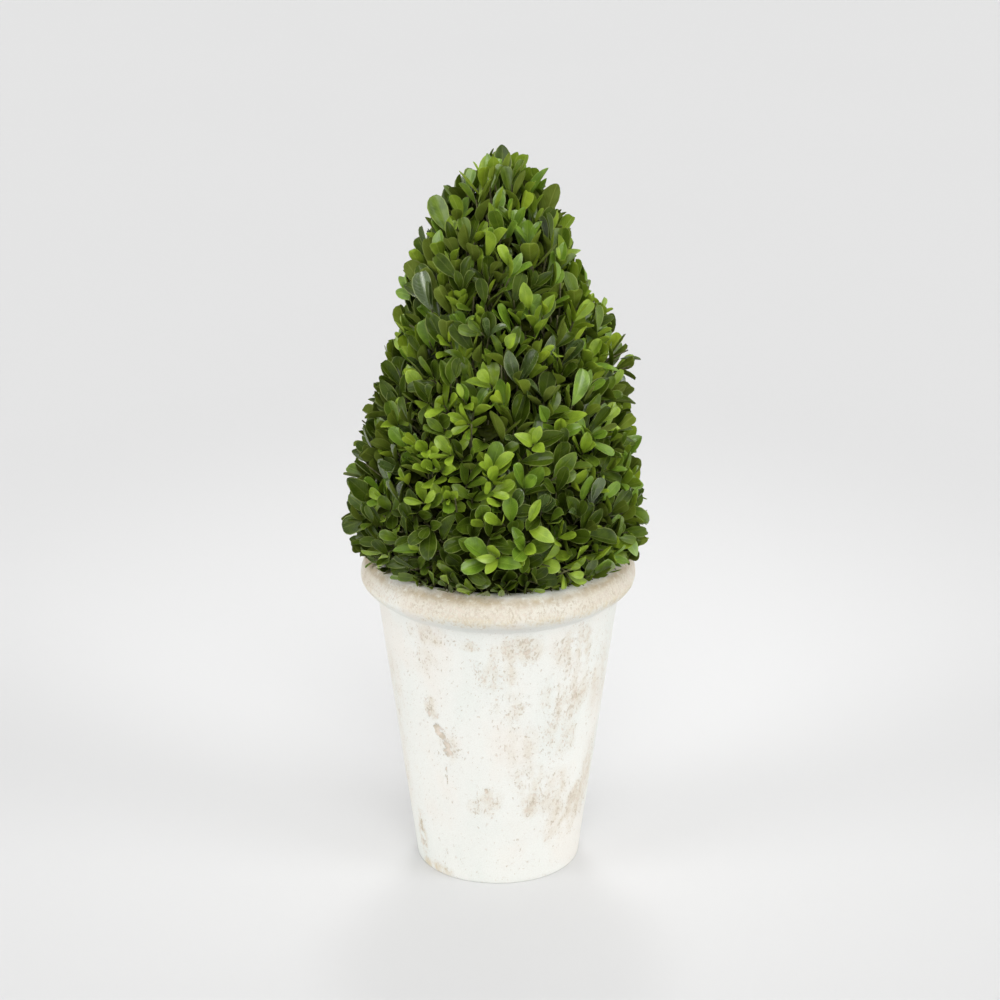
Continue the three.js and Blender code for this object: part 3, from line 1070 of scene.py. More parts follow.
@dataclass
class Stem:
    """The short stem that runs up inside the crown."""

    foot: float = 0.2113
    soil: float = 0.211
    top: float = 0.448
    foot_radius: float = 0.007
    tip_radius: float = 0.0026
    flare: float = 0.005
    flare_height: float = 0.016
    lean: float = 0.005
    sides: int = 32
    rings: int = 90
    furrow: float = 0.0007
    furrow_base: float = 0.4
    ridges: tuple[float, float] = (3, 45)
    cracks: tuple[float, float] = (7, 120)
    crack_start: float = 9
    crack_share: float = 0.5
    smooth_foot: float = 0.002
    crease: float = 60
    slot: str = "bark"
    piece: Piece = field(init=False, default=None)

    def centre(self, z: float) -> Vector:
        """The middle of the stem at a height."""
        share = (z - self.soil) / (self.top - self.soil)
        return Vector((self.lean * share * share, 0.4 * self.lean * math.sin(math.pi * share), z))

    def radius(self, z: float) -> float:
        """The stem's radius at a height, with its flare at the foot."""
        share = (z - self.soil) / (self.top - self.soil)
        flare = self.flare * max(0.0, 1 - (z - self.soil) / self.flare_height) ** 2
        return blend(self.foot_radius, self.tip_radius, share) + flare

    def relief(self, turn: float, z: float) -> float:
        """How far the bark stands out at a place, from ridges with cracks in them."""
        round_by, up_by = self.ridges
        ridge = noise.noise(Vector((round_by * math.cos(turn), round_by * math.sin(turn), up_by * z)))
        round_by, up_by = self.cracks
        start = up_by * z + self.crack_start
        crack = noise.noise(Vector((round_by * math.cos(turn), round_by * math.sin(turn), start)))
        relief = self.furrow * (ridge + self.crack_share * crack - self.furrow_base)
        return relief * min(1, (z - self.foot) / self.smooth_foot)

    def build(self) -> Piece:
        """Draws out the stem and furrows its bark.

        Returns:
            The piece.
        """
        deselect_all()
        height = self.top - self.foot
        bpy.ops.mesh.primitive_cylinder_add(vertices=self.sides, radius=1, depth=height)
        self.piece = bpy.context.object
        self.piece.name = "stem_bark"
        self.piece.data.transform(self.piece.matrix_world)
        bpy.ops.object.mode_set(mode="EDIT")
        mesh = bmesh.from_edit_mesh(self.piece.data)
        for edge in mesh.edges:
            edge.select = abs(edge.verts[0].co.z - edge.verts[1].co.z) > height / 2
        bmesh.update_edit_mesh(self.piece.data)
        bpy.ops.mesh.subdivide(number_cuts=self.rings)
        bpy.ops.object.mode_set(mode="OBJECT")
        places = points_of(self.piece.data)
        for i, (x, y, z) in enumerate(places):
            z = z + height / 2 + self.foot
            turn = math.atan2(y, x)
            radius = self.radius(z) + self.relief(turn, z)
            away = Vector((math.cos(turn), math.sin(turn), 0))
            places[i] = self.centre(z) + away * radius * min(math.hypot(x, y), 1)
        move_points(self.piece.data, places)
        smoothed(self.piece, self.crease)
        return self.piece

    def dress(self) -> None:
        """Gives the stem its bark and its place in the frame."""
        finish = Bark("stem_bark", (0.20, 0.15, 0.10), (0.06, 0.045, 0.03))
        self.piece.data.materials.append(finish.make())
        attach(self.piece, BODY)
        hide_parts("stem")


# ---------------------------------------- crown


LEAF_CREASE = 75
LIMB_CREASE = 60


@dataclass
class Outline:
    """How far the clipped crown and the woody core inside it reach at each height."""

    top: float = 0.5145
    belly_z: float = 0.262
    belly_radius: float = 0.108
    power: float = 0.46
    hem_z: float = 0.232
    hem_tuck: float = 0.009
    core_top: float = 0.472
    core_inset: float = 0.030
    core_tuck: float = 0.007
    core_foot_z: float = 0.2113

    def reach(self, z: Array) -> Array:
        """The radius that leaf tips reach at each height."""
        above = np.clip((self.top - z) / (self.top - self.belly_z), 0, None) ** self.power
        below = self.belly_radius - self.hem_tuck * ((self.belly_z - z) / (self.belly_z - self.hem_z)) ** 2
        return np.where(z >= self.belly_z, self.belly_radius * above, below)

    def core(self, z: Array) -> Array:
        """The core's radius at each height."""
        widest = self.belly_radius - self.core_inset
        above = np.clip((self.core_top - z) / (self.core_top - self.belly_z), 0, None) ** self.power
        below = widest - self.core_tuck * ((self.belly_z - z) / (self.belly_z - self.core_foot_z)) ** 2
        return np.where(z >= self.belly_z, widest * above, below)


@dataclass
class Rows:
    """Arrays of one length that are cut and joined together."""

    def where(self, mask: Array) -> "Rows":
        """The rows that a mask or a list of numbers picks."""
        return type(self)(**{entry.name: getattr(self, entry.name)[mask] for entry in fields(self)})

    def count(self) -> int:
        """How many rows there are."""
        return len(getattr(self, fields(self)[0].name))

    @classmethod
    def joined(cls, parts: Sequence["Rows"]) -> "Rows":
        """One set of rows from several, in order."""
        columns = {entry.name: [getattr(part, entry.name) for part in parts] for entry in fields(cls)}
        return cls(**{name: np.concatenate(column) for name, column in columns.items()})


@dataclass(frozen=True)
class Layer:
    """One layer of sprigs on the core: how many, where, how large, and how many nodes have leaves."""

    sprigs: int
    from_z: float
    to_z: float
    reach: float
    size: float
    lift: float
    nodes: int
    shares: tuple[float, ...]
    bare: float = 0.0
    first_turn: float = 0.0


@dataclass
class Sprigs(Rows):
    """Twigs that stand out of the crown, and the directions that their leaves are set out in."""

    root: Array
    axis: Array
    side: Array
    across: Array
    outward: Array
    reach: Array
    turn: Array
    tone: Array
    mass: Array
    size: Array
    bare: Array
    layer: Array
    number: Array


@dataclass
class Growth(Rows):
    """What a bud and its leaf have in common."""

    foot: Array
    length: Array
    width: Array
    curl: Array
    cup: Array
    variant: Array
    tone: Array
    mass: Array
    owner: Array


@dataclass
class Buds(Growth):
    """Leaves as their sprigs would like to carry them."""

    tip: Array
    axis: Array
    side: Array
    across: Array
    outward: Array
    azimuth: Array
    spread: Array
    roll: Array


@dataclass
class Leaves(Growth):
    """Leaves in their places."""

    along: Array
    wide: Array
    upper: Array

    def points(self, along: Array, across: Array, rise: Array) -> Array:
        """Places on every leaf.

        Args:
            along: shares of the length, from the foot to the tip.
            across: shares of the width, from the midrib.
            rise: heights over the blade, as shares of the length.

        Returns:
            The places: a row for each leaf, a column for each point.
        """
        bend = self.curl[:, None] * along[None, :] ** 2 + rise[None, :]
        lift = self.length[:, None] * bend + (self.width * self.cup)[:, None] * np.abs(across)[None, :]
        forward = self.length[:, None] * along[None, :]
        sideways = self.width[:, None] * across[None, :]
        return (
            self.foot[:, None, :]
            + forward[..., None] * self.along[:, None, :]
            + sideways[..., None] * self.wide[:, None, :]
            + lift[..., None] * self.upper[:, None, :]
        )


@dataclass
class Blade:
    """One outline of leaf, modelled once: a thin closed blade along +X, its face up."""

    stations: tuple[float, ...]
    widths: tuple[float, ...]
    notch: float = 0.0
    columns: int = 4
    thickness: float = 0.016
    puff: float = 0.016
    sliver: float = 1e-5
    weld: float = 1e-4
    along: Array = field(init=False, default=None)
    across: Array = field(init=False, default=None)
    rise: Array = field(init=False, default=None)
    map: Array = field(init=False, default=None)
    faces: list[tuple[int, ...]] = field(init=False, default=None)
    sides: Array = field(init=False, default=None)

    def sheet(self, columns: int, depth: float) -> Piece:
        """Models one side of the blade.

        Args:
            columns: how many faces it has from edge to edge.
            depth: how far its middle stands under the edge, as a share of the length.

        Returns:
            The sheet, pointed at both ends.
        """
        deselect_all()
        rows = len(self.stations) + 1
        bpy.ops.mesh.primitive_grid_add(x_subdivisions=rows, y_subdivisions=columns, size=1)
        piece = bpy.context.object
        marks = [0.0, *self.stations, 1.0]
        widths = [0.0, *self.widths, 0.0]
        bpy.ops.object.mode_set(mode="EDIT")
        for row, (mark, width) in enumerate(zip(marks, widths)):
            start = row / rows - 0.5
            select_points(piece, lambda at, start=start: abs(at.x - start) < self.weld)
            bpy.ops.transform.resize(value=(1, max(width, self.sliver), 1))
        bpy.ops.object.mode_set(mode="OBJECT")
        places = points_of(piece.data)
        numbers = np.rint((places[:, 0] + 0.5) * rows).astype(int)
        half = np.maximum(np.array(widths)[numbers], self.sliver) / 2
        share = np.clip(np.abs(places[:, 1]) / half, 0, 1)
        inner = 1 - share
        places[:, 2] = (self.puff * 4 * share * inner - depth * inner) * np.minimum(1, 4 * half)
        places[:, 0] = np.array(marks)[numbers] - self.notch * (numbers == rows)
        move_points(piece.data, places)
        layer = piece.data.attributes.new("spot", "FLOAT_VECTOR", "POINT")
        spot = np.stack([0.5 + 0.5 * np.sign(places[:, 1]) * share, places[:, 0], 0 * share], axis=1)
        spot[np.isin(numbers, (0, rows)), 0] = 0.5
        layer.data.foreach_set("vector", spot.ravel())
        return piece

    def build(self) -> "Blade":
        """Models the blade and reads its points and faces.

        Returns:
            The blade itself.
        """
        face = self.sheet(self.columns, 0.0)
        back = self.sheet(2, self.thickness)
        chosen(back)
        bpy.ops.object.mode_set(mode="EDIT")
        bpy.ops.mesh.select_all(action="SELECT")
        bpy.ops.mesh.flip_normals()
        bpy.ops.object.mode_set(mode="OBJECT")
        for polygon in back.data.polygons:
            polygon.material_index = 1
        for piece in (face, back):
            piece.data.materials.append(None)
            piece.data.materials.append(None)
        chosen(face)
        back.select_set(True)
        bpy.ops.object.join()
        bpy.ops.object.mode_set(mode="EDIT")
        bpy.ops.mesh.select_all(action="SELECT")
        bpy.ops.mesh.remove_doubles(threshold=self.weld)
        bpy.ops.object.mode_set(mode="OBJECT")
        mesh = face.data
        places = points_of(mesh)
        spots = np.empty(len(mesh.vertices) * 3)
        mesh.attributes["spot"].data.foreach_get("vector", spots)
        self.along, self.across, self.rise = places[:, 0], places[:, 1], places[:, 2]
        self.map = spots.reshape(-1, 3)[:, :2]
        self.faces = [tuple(polygon.vertices) for polygon in mesh.polygons]
        self.sides = np.array([1 if polygon.normal.z < 0 else 0 for polygon in mesh.polygons])
        bpy.data.objects.remove(face)
        return self


def blades() -> list[Blade]:
    """The outlines of leaf that the crown mixes, and last the plain one for the leaves deep inside it."""
    stations = (0.07, 0.21, 0.40, 0.60, 0.78, 0.90, 0.97)
    return [
        Blade(stations, (0.11, 0.46, 0.83, 1.00, 0.86, 0.56, 0.27)),
        Blade(stations, (0.10, 0.40, 0.76, 0.99, 0.96, 0.72, 0.40), 0.01),
        Blade(stations, (0.10, 0.38, 0.73, 0.96, 1.00, 0.86, 0.56), 0.04),
        Blade(stations, (0.12, 0.54, 0.92, 0.98, 0.74, 0.45, 0.20)),
        Blade(stations, (0.09, 0.35, 0.70, 0.94, 0.99, 0.80, 0.48), 0.018),
        Blade((0.25, 0.55, 0.85), (0.6, 1.0, 0.75), columns=2),
    ]


@dataclass(frozen=True)
class Dent:
    """A place where the clipping stands in, or with a negative depth out, from the outline."""

    azimuth: float
    height: float
    size: float
    depth: float

    def weight(self, places: Array) -> Array:
        """How deep the dent is at each place, as a share of the radius."""
        turn = np.degrees(np.arctan2(places[:, 1], places[:, 0])) - self.azimuth
        turn = np.radians(half_turned(turn)) * np.hypot(places[:, 0], places[:, 1])
        return self.depth * np.exp(-((np.hypot(turn, places[:, 2] - self.height) / self.size) ** 2))


@dataclass(frozen=True)
class Glow:
    """A part of the crown where one tone gathers."""

    azimuth: float
    height: float
    size: float
    tone: Tone
    strength: float

    def weight(self, places: Array) -> Array:
        """How strongly the tone gathers at each place, from 0 to its strength."""
        radius = np.hypot(places[:, 0], places[:, 1])
        turn = math.radians(self.azimuth)
        height = np.full(len(places), self.height)
        centre = np.stack([radius * math.cos(turn), radius * math.sin(turn), height], axis=1)
        return self.strength * np.exp(-((np.linalg.norm(places - centre, axis=1) / self.size) ** 2))


def tree_of(places: Array, corners: Array) -> BVHTree:
    """A search tree of the triangles of many small shapes.

    Args:
        places: a row for each shape, a column for each of its points.
        corners: the triangles of one shape.

    Returns:
        The tree. Triangle number // len(corners) is the shape's number.
    """
    count, size = places.shape[:2]
    shift = (np.arange(count) * size)[:, None, None]
    triangles = (corners[None] + shift).reshape(-1, 3)
    return BVHTree.FromPolygons(places.reshape(-1, 3).tolist(), triangles.tolist(), all_triangles=True)


def joined_mesh(
    name: str, places: Array, corners: Array, sizes: Array, sides: Array, spots: Array | None = None,
) -> Piece:
    """Makes one mesh from arrays.

    Args:
        name: what the piece is called.
        places: the points.
        corners: the points of every face, one after another.
        sizes: how many corners each face has.
        sides: each face's material number.
        spots: each point's place in the map, or None for a piece with no map.

    Returns:
        The piece.
    """
    mesh = bpy.data.meshes.new(name)
    mesh.vertices.add(len(places))
    mesh.vertices.foreach_set("co", places.astype(np.float32).ravel())
    mesh.loops.add(len(corners))
    mesh.loops.foreach_set("vertex_index", corners.astype(np.int32))
    mesh.polygons.add(len(sizes))
    starts = np.concatenate([[0], np.cumsum(sizes)[:-1]])
    mesh.polygons.foreach_set("loop_start", starts.astype(np.int32))
    mesh.polygons.foreach_set("loop_total", sizes.astype(np.int32))
    mesh.polygons.foreach_set("material_index", sides.astype(np.int32))
    if spots is not None:
        layer = mesh.uv_layers.new(name="leaf")
        layer.data.foreach_set("uv", spots[corners].astype(np.float32).ravel())
    mesh.update(calc_edges=True)
    mesh.validate()
    piece = bpy.data.objects.new(name, mesh)
    bpy.context.scene.collection.objects.link(piece)
    return piece


def leaf_mesh(name: str, leaves: Leaves, kinds: Sequence[Blade]) -> Piece:
    """Joins leaves into one piece.

    Args:
        name: what the piece is called.
        leaves: the leaves.
        kinds: the blades that they are copies of.

    Returns:
        The piece.
    """
    places, corners, sizes, sides, spots = [], [], [], [], []
    start = 0
    for number, blade in enumerate(kinds):
        group = leaves.where(leaves.variant == number)
        count = group.count()
        if not count:
            continue
        points = group.points(blade.along, blade.across, blade.rise)
        size = len(blade.along)
        loops = np.concatenate([np.array(face) for face in blade.faces])
        shift = start + size * np.arange(count)[:, None]
        places.append(points.reshape(-1, 3))
        corners.append((loops[None] + shift).ravel())
        sizes.append(np.tile([len(face) for face in blade.faces], count))
        sides.append(np.tile(blade.sides, count))
        spots.append(np.tile(blade.map, (count, 1)))
        start += size * count
    arrays = [np.concatenate(part) for part in (places, corners, sizes, sides, spots)]
    piece = joined_mesh(name, *arrays)
    smoothed(piece, LEAF_CREASE)
    return piece


def tube_mesh(name: str, lines: Sequence[Array], radii: Sequence[Array], sides: int) -> Piece:
    """Joins closed tubes along many lines into one piece.

    Args:
        name: what the piece is called.
        lines: the points of each tube's middle, the same number for all.
        radii: the tube's radius at each point.
        sides: how many sides a tube has.

    Returns:
        The piece.
    """
    middle = np.stack(lines)
    thick = np.stack(radii)
    count, rings = middle.shape[:2]
    ahead = unit(np.gradient(middle, axis=1))
    aside = np.where(np.abs(ahead[..., 2:]) > 0.9, [[[1.0, 0, 0]]], [[[0, 0, 1.0]]])
    first = unit(np.cross(ahead, aside))
    second = np.cross(ahead, first)
    angle = 2 * math.pi * np.arange(sides) / sides
    ring = first[:, :, None] * np.cos(angle)[:, None] + second[:, :, None] * np.sin(angle)[:, None]
    places = middle[:, :, None] + ring * thick[:, :, None, None]
    index = np.arange(rings * sides).reshape(rings, sides)
    low, high = index[:-1], index[1:]
    quads = np.stack([low, np.roll(low, -1, 1), np.roll(high, -1, 1), high], axis=-1).reshape(-1, 4)
    caps = [index[0][::-1], index[-1]]
    loops = np.concatenate([quads.ravel(), *caps])
    sizes = np.array([4] * len(quads) + [sides, sides])
    shift = rings * sides * np.arange(count)[:, None]
    corners = (loops[None] + shift).ravel()
    faces = np.tile(sizes, count)
    piece = joined_mesh(name, places.reshape(-1, 3), corners, faces, np.zeros(len(faces)))
    smoothed(piece, LIMB_CREASE)
    return piece


PROXY_ALONG = np.array([0.12, 0.32, 0.32, 0.32, 0.58, 0.58, 0.58, 0.82, 0.82, 0.82, 1.0])
PROXY_ACROSS = np.array([0, 0, 0.38, -0.38, 0, 0.50, -0.50, 0, 0.44, -0.44, 0])
PROXY_FACES = np.array(
    [[0, 1, 2], [0, 3, 1], [1, 4, 5], [1, 5, 2], [1, 3, 6], [1, 6, 4]]
    + [[4, 7, 8], [4, 8, 5], [4, 6, 9], [4, 9, 7], [7, 10, 8], [7, 9, 10]]
)
TWIG_FACES = np.array([[0, 2, 1], [0, 3, 2], [0, 1, 3], [1, 2, 3]])
SPIKE_RADIUS = 0.0008


def spikes(foot: Array, tip: Array, side: Array, across: Array) -> Array:
    """The points of thin spikes that stand for twigs while leaves look for room.

    Args:
        foot: the middle of each spike's foot.
        tip: its tip.
        side: a direction across it.
        across: another.

    Returns:
        A row for each spike, with its tip and the three points of its foot.
    """
    return np.stack([tip, *(foot + way * SPIKE_RADIUS for way in (side, across, -side - across))], axis=1)


def proxies(leaves: Leaves) -> Array:
    """The points of the simple shapes that stand for leaves while they look for room."""
    return leaves.points(PROXY_ALONG, PROXY_ACROSS, np.zeros(len(PROXY_ALONG)))


def first_come(tree: BVHTree, size: int, free: Array) -> list[int]:
    """Of shapes that cut each other, the ones that come first.

    Args:
        tree: the search tree of the shapes.
        size: how many triangles each has.
        free: which of them may be kept at all.

    Returns:
        The numbers of the shapes that are kept, in order.
    """
    rivals: dict[int, set[int]] = {}
    for first, second in tree.overlap(tree):
        if first // size != second // size:
            rivals.setdefault(first // size, set()).add(second // size)
    kept: set[int] = set()
    for number in np.flatnonzero(free).tolist():
        if not rivals.get(number, set()) & kept:
            kept.add(number)
    return sorted(kept)


def opened(twigs: Sprigs | Buds, turn: Array, angle: Array) -> tuple[Array, Array]:
    """The directions of leaves that open away from their twigs.

    Args:
        twigs: what the leaves grow on.
        turn: each leaf's angle round its twig.
        angle: how far it opens away from it.

    Returns:
        The direction along each leaf and the one out of its upper face.
    """
    away = twigs.side * np.cos(turn) + twigs.across * np.sin(turn)
    along = twigs.axis * np.cos(angle) + away * np.sin(angle)
    upper = twigs.axis * np.sin(angle) - away * np.cos(angle)
    return along, upper


@dataclass
class Clipping:
    """The space that the clipped crown keeps to: within its outline and clear of the pot's rim."""

    outline: Outline = field(default_factory=Outline)
    widest: float = 0.1103
    shortfall: float = 0.012
    slim: float = 0.03
    slim_from: float = 0.38
    slim_over: float = 0.05
    swells: tuple[float, float] = (26, 0.055)
    rags: tuple[float, float] = (115, 0.085)
    uneven_span: Span = (-0.025, 0.10)
    rim_radius: float = 0.0845
    rim_half: float = 0.0128
    rim_bite: float = 0.002
    rim_span: float = 1.2
    rim_top: float = 0.2297
    rim_fall: float = 0.0120
    skirt_foot: float = 0.1935
    skirt_rise: float = 0.405
    skirt_radius: float = 0.077
    droop: float = 0.0055
    droop_azimuth: float = -162
    droop_turn: float = 13
    foot_gap: float = 0.004
    dents: tuple[Dent, ...] = (
        Dent(180, 0.395, 0.026, 0.06), Dent(176, 0.375, 0.018, 0.04), Dent(2, 0.450, 0.030, 0.05),
        Dent(0, 0.330, 0.014, 0.03), Dent(-4, 0.282, 0.016, 0.05), Dent(-4, 0.356, 0.015, -0.24),
        Dent(-4, 0.396, 0.014, -0.12), Dent(-2, 0.420, 0.012, 0.07), Dent(2, 0.258, 0.016, 0.07),
        Dent(180, 0.413, 0.008, -0.13), Dent(182, 0.432, 0.012, -0.07), Dent(182, 0.374, 0.014, 0.05),
        Dent(4, 0.486, 0.016, -0.23), Dent(184, 0.246, 0.014, -0.022), Dent(178, 0.486, 0.016, -0.19),
        Dent(186, 0.418, 0.020, 0.03), Dent(172, 0.262, 0.020, -0.02), Dent(-20, 0.250, 0.014, -0.04),
        Dent(0, 0.499, 0.010, -0.20), Dent(180, 0.499, 0.010, -0.20), Dent(70, 0.400, 0.030, 0.07),
        Dent(110, 0.300, 0.030, 0.06),
    )

    def dented(self, places: Array) -> Array:
        """How far all the dents stand in at each place, as a share of the radius."""
        return sum(dent.weight(places) for dent in self.dents)

    def uneven(self, places: Array) -> Array:
        """How far the clipping falls short of the outline at each place, as a share of the radius."""
        swell_scale, swell = self.swells
        rag_scale, rag = self.rags
        slow = np.array([noise.noise(Vector(p) * swell_scale + SWELL_START) for p in places])
        fast = np.array([noise.noise(Vector(p) * rag_scale) for p in places])
        slim = self.slim * np.clip((places[:, 2] - self.slim_from) / self.slim_over, 0, 1)
        short = self.shortfall + slim + swell * slow + rag * fast
        return np.clip(short, *self.uneven_span) + self.dented(places)

    def holds(self, places: Array) -> Array:
        """Says of each row of places whether all of it keeps to the space."""
        radius = np.hypot(places[..., 0], places[..., 1])
        z = places[..., 2]
        clipped = self.outline.reach(z) * (1 - self.uneven(places[:, -1])[:, None])
        inside = radius <= np.minimum(clipped, self.widest)
        over = (radius - self.rim_radius) / (self.rim_half - self.rim_bite)
        clear = (np.abs(over) > self.rim_span) | (z > self.rim_top - self.rim_fall * over**2)
        turn = np.degrees(np.arctan2(places[..., 1], places[..., 0]))
        droop = self.droop * np.exp(-((half_turned(turn - self.droop_azimuth) / self.droop_turn) ** 2))
        skirt = z > self.skirt_foot + self.skirt_rise * radius - droop
        above = z > self.outline.core_foot_z + self.foot_gap
        return np.all(inside & clear & (skirt | (radius < self.skirt_radius)) & above, axis=1)


@dataclass(frozen=True)
class Mass:
    """One mass of the crown: the cone that it stands on, and its boughs' number and feet on the stem."""

    name: str
    floor: float
    rise: float
    boughs: int
    span: Span

    def holds(self, radius: Array, z: Array) -> Array:
        """Says of each place whether it is above the mass's floor."""
        return z > self.floor + self.rise * radius


MASSES = (
    Mass("lower", -0.080, 1.4, 16, (0.222, 0.300)), Mass("middle", 0.212, 1.4, 14, (0.290, 0.375)),
    Mass("upper", 0.318, 1.7, 9, (0.365, 0.440)),
)


@dataclass
class SprigRule:
    """Spreads sprigs over the core, tilted up from its normal more and more towards the top."""

    space: Clipping
    samples: int = 800
    axis_radius: float = 0.004
    turn_jitter: float = 0.04
    low_rise: float = 4.0
    high_rise: float = 58.0
    rise_gain: float = 1.6
    rise_power: float = 0.6
    rise_jitter: float = 15
    swing_jitter: float = 0.32
    reach_jitter: Span = (-0.3, 0.22)
    least_reach: float = 0.004
    tall_from: float = 0.455
    tall_reach: float = 1.25
    bare_reach: float = 1.7
    dent_lift: float = 150.0
    sizes: Span = (0.80, 1.20)
    tilts: tuple[float, ...] = (0, 9, 18, 27, 36, -9, -18, 50)
    glows: tuple[Glow, ...] = (
        Glow(-104, 0.318, 0.036, Tone.LIME, 1.2), Glow(-62, 0.405, 0.040, Tone.FRESH, 1.2),
        Glow(-90, 0.490, 0.028, Tone.LIME, 0.5), Glow(-75, 0.245, 0.030, Tone.LIME, 0.5),
        Glow(-40, 0.440, 0.030, Tone.FRESH, 0.6), Glow(-25, 0.385, 0.045, Tone.FRESH, 0.8),
        Glow(-20, 0.270, 0.040, Tone.FRESH, 0.6), Glow(-160, 0.270, 0.050, Tone.DEEP, 0.9),
        Glow(-125, 0.430, 0.035, Tone.DEEP, 0.7), Glow(60, 0.300, 0.045, Tone.LIME, 0.9),
        Glow(140, 0.390, 0.040, Tone.FRESH, 0.9), Glow(20, 0.360, 0.040, Tone.LIME, 0.5),
    )

    def feet(self, layer: Layer) -> tuple[Array, ...]:
        """Places spread evenly over the core.

        Args:
            layer: the layer that they are for.

        Returns:
            The radius, height and angle of each place, and the slope of the core's normal there.
        """
        z = np.linspace(layer.from_z, layer.to_z, self.samples)
        radius = self.space.outline.core(z)
        strips = (radius[1:] + radius[:-1]) / 2 * np.hypot(np.diff(radius), np.diff(z))
        area = np.concatenate([[0], np.cumsum(strips)])
        wanted = (np.arange(layer.sprigs) + 0.5) / layer.sprigs * area[-1]
        at = np.clip(np.searchsorted(area, wanted), 1, len(z) - 1)
        slope = np.arctan2(radius[at - 1] - radius[at], z[at] - z[at - 1])
        angle = np.arange(layer.sprigs) * GOLDEN_ANGLE + layer.first_turn
        return radius[at], z[at], angle, slope

    def tones(self, draw: Draw, places: Array, shares: Sequence[float]) -> Array:
        """Deals a tone to each sprig, by its place, the layer's shares and a seeded draw."""
        weights = np.tile(np.array(shares), (len(places), 1))
        for glow in self.glows:
            weights[:, glow.tone.value] += glow.weight(places)
        shares = np.cumsum(weights, axis=1) / weights.sum(axis=1, keepdims=True)
        return np.sum(draw.random(len(places))[:, None] > shares, axis=1)

    def grow(self, draw: Draw, layer: Layer, order: int) -> Sprigs:
        """Sets out a layer's sprigs.

        Args:
            draw: the seeded draw.
            layer: the layer.
            order: the layer's number.

        Returns:
            The sprigs whose twigs keep to the crown.
        """
        radius, z, angle, slope = self.feet(layer)
        count = len(z)
        angle = angle + draw.normal(0, self.turn_jitter, count) * (radius > self.axis_radius)
        outward = np.stack([np.cos(angle), np.sin(angle), np.zeros(count)], axis=1)
        around = np.stack([-outward[:, 1], outward[:, 0], np.zeros(count)], axis=1)
        root = outward * radius[:, None]
        root[:, 2] = z
        outline = self.space.outline
        high = np.clip(self.rise_gain * (z - outline.hem_z) / (outline.core_top - outline.hem_z), 0, 1)
        rise = blend(self.low_rise, self.high_rise, high**self.rise_power) + layer.lift
        rise = rise + draw.normal(0, self.rise_jitter, count)
        swing = draw.normal(0, self.swing_jitter, count)
        reach = layer.reach * (1 + draw.uniform(*self.reach_jitter, count))
        reach = reach * np.where(z > self.tall_from, self.tall_reach, 1)
        skin = outline.reach(z)
        edge = outward * skin[:, None] + np.stack([0 * z, 0 * z, z], axis=1)
        dented = self.space.dented(edge)
        reach = np.maximum(reach - skin * dented, self.least_reach)
        rise = rise + self.dent_lift * dented
        tone = self.tones(draw, root, layer.shares)
        turn = draw.uniform(0, math.pi, count)
        size = layer.size * draw.uniform(*self.sizes, count)
        bare = draw.random(count) < layer.bare
        reach = np.where(bare, self.bare_reach * reach, reach)
        axis, held = self.leaned(root, outward, around, swing, slope, rise, reach)
        side = unit(np.cross(axis, around))
        across = np.cross(side, axis)
        mass = np.sum([part.holds(radius, z) for part in MASSES], axis=0) - 1
        number = np.zeros(count, int)
        layers = np.full(count, order)
        ways = (root, axis, side, across, outward)
        sprigs = Sprigs(*ways, reach, turn, tone, mass, size, bare, layers, number)
        return sprigs.where(held)

    def leaned(
        self, root: Array, outward: Array, around: Array, swing: Array, slope: Array, rise: Array,
        reach: Array,
    ) -> tuple[Array, Array]:
        """Leans each twig the first way, of a few, in which it keeps to the crown.

        Args:
            root: the twigs' feet.
            outward: the level direction away from the crown's axis at each.
            around: the level direction round the axis.
            swing: how far each twig turns that way.
            slope: the slope of the core's normal, in radians.
            rise: how far each twig would rise from the normal, in degrees.
            reach: how long each is.

        Returns:
            The twigs' directions, and which of them keep to the crown.
        """
        axis = np.zeros((len(root), 3))
        open_still = np.ones(len(root), bool)
        for more in self.tilts:
            lift = np.minimum(math.pi / 2, slope + np.radians(rise + more))
            way = outward * np.cos(lift)[:, None] + around * swing[:, None]
            way[:, 2] += np.sin(lift)
            way = unit(way)
            steps = reach[:, None] * np.linspace(0.1, 1.0, 6)[None]
            good = self.space.holds(root[:, None] + way[:, None] * steps[..., None]) & open_still
            axis[good] = way[good]
            open_still &= ~good
        return axis, ~open_still


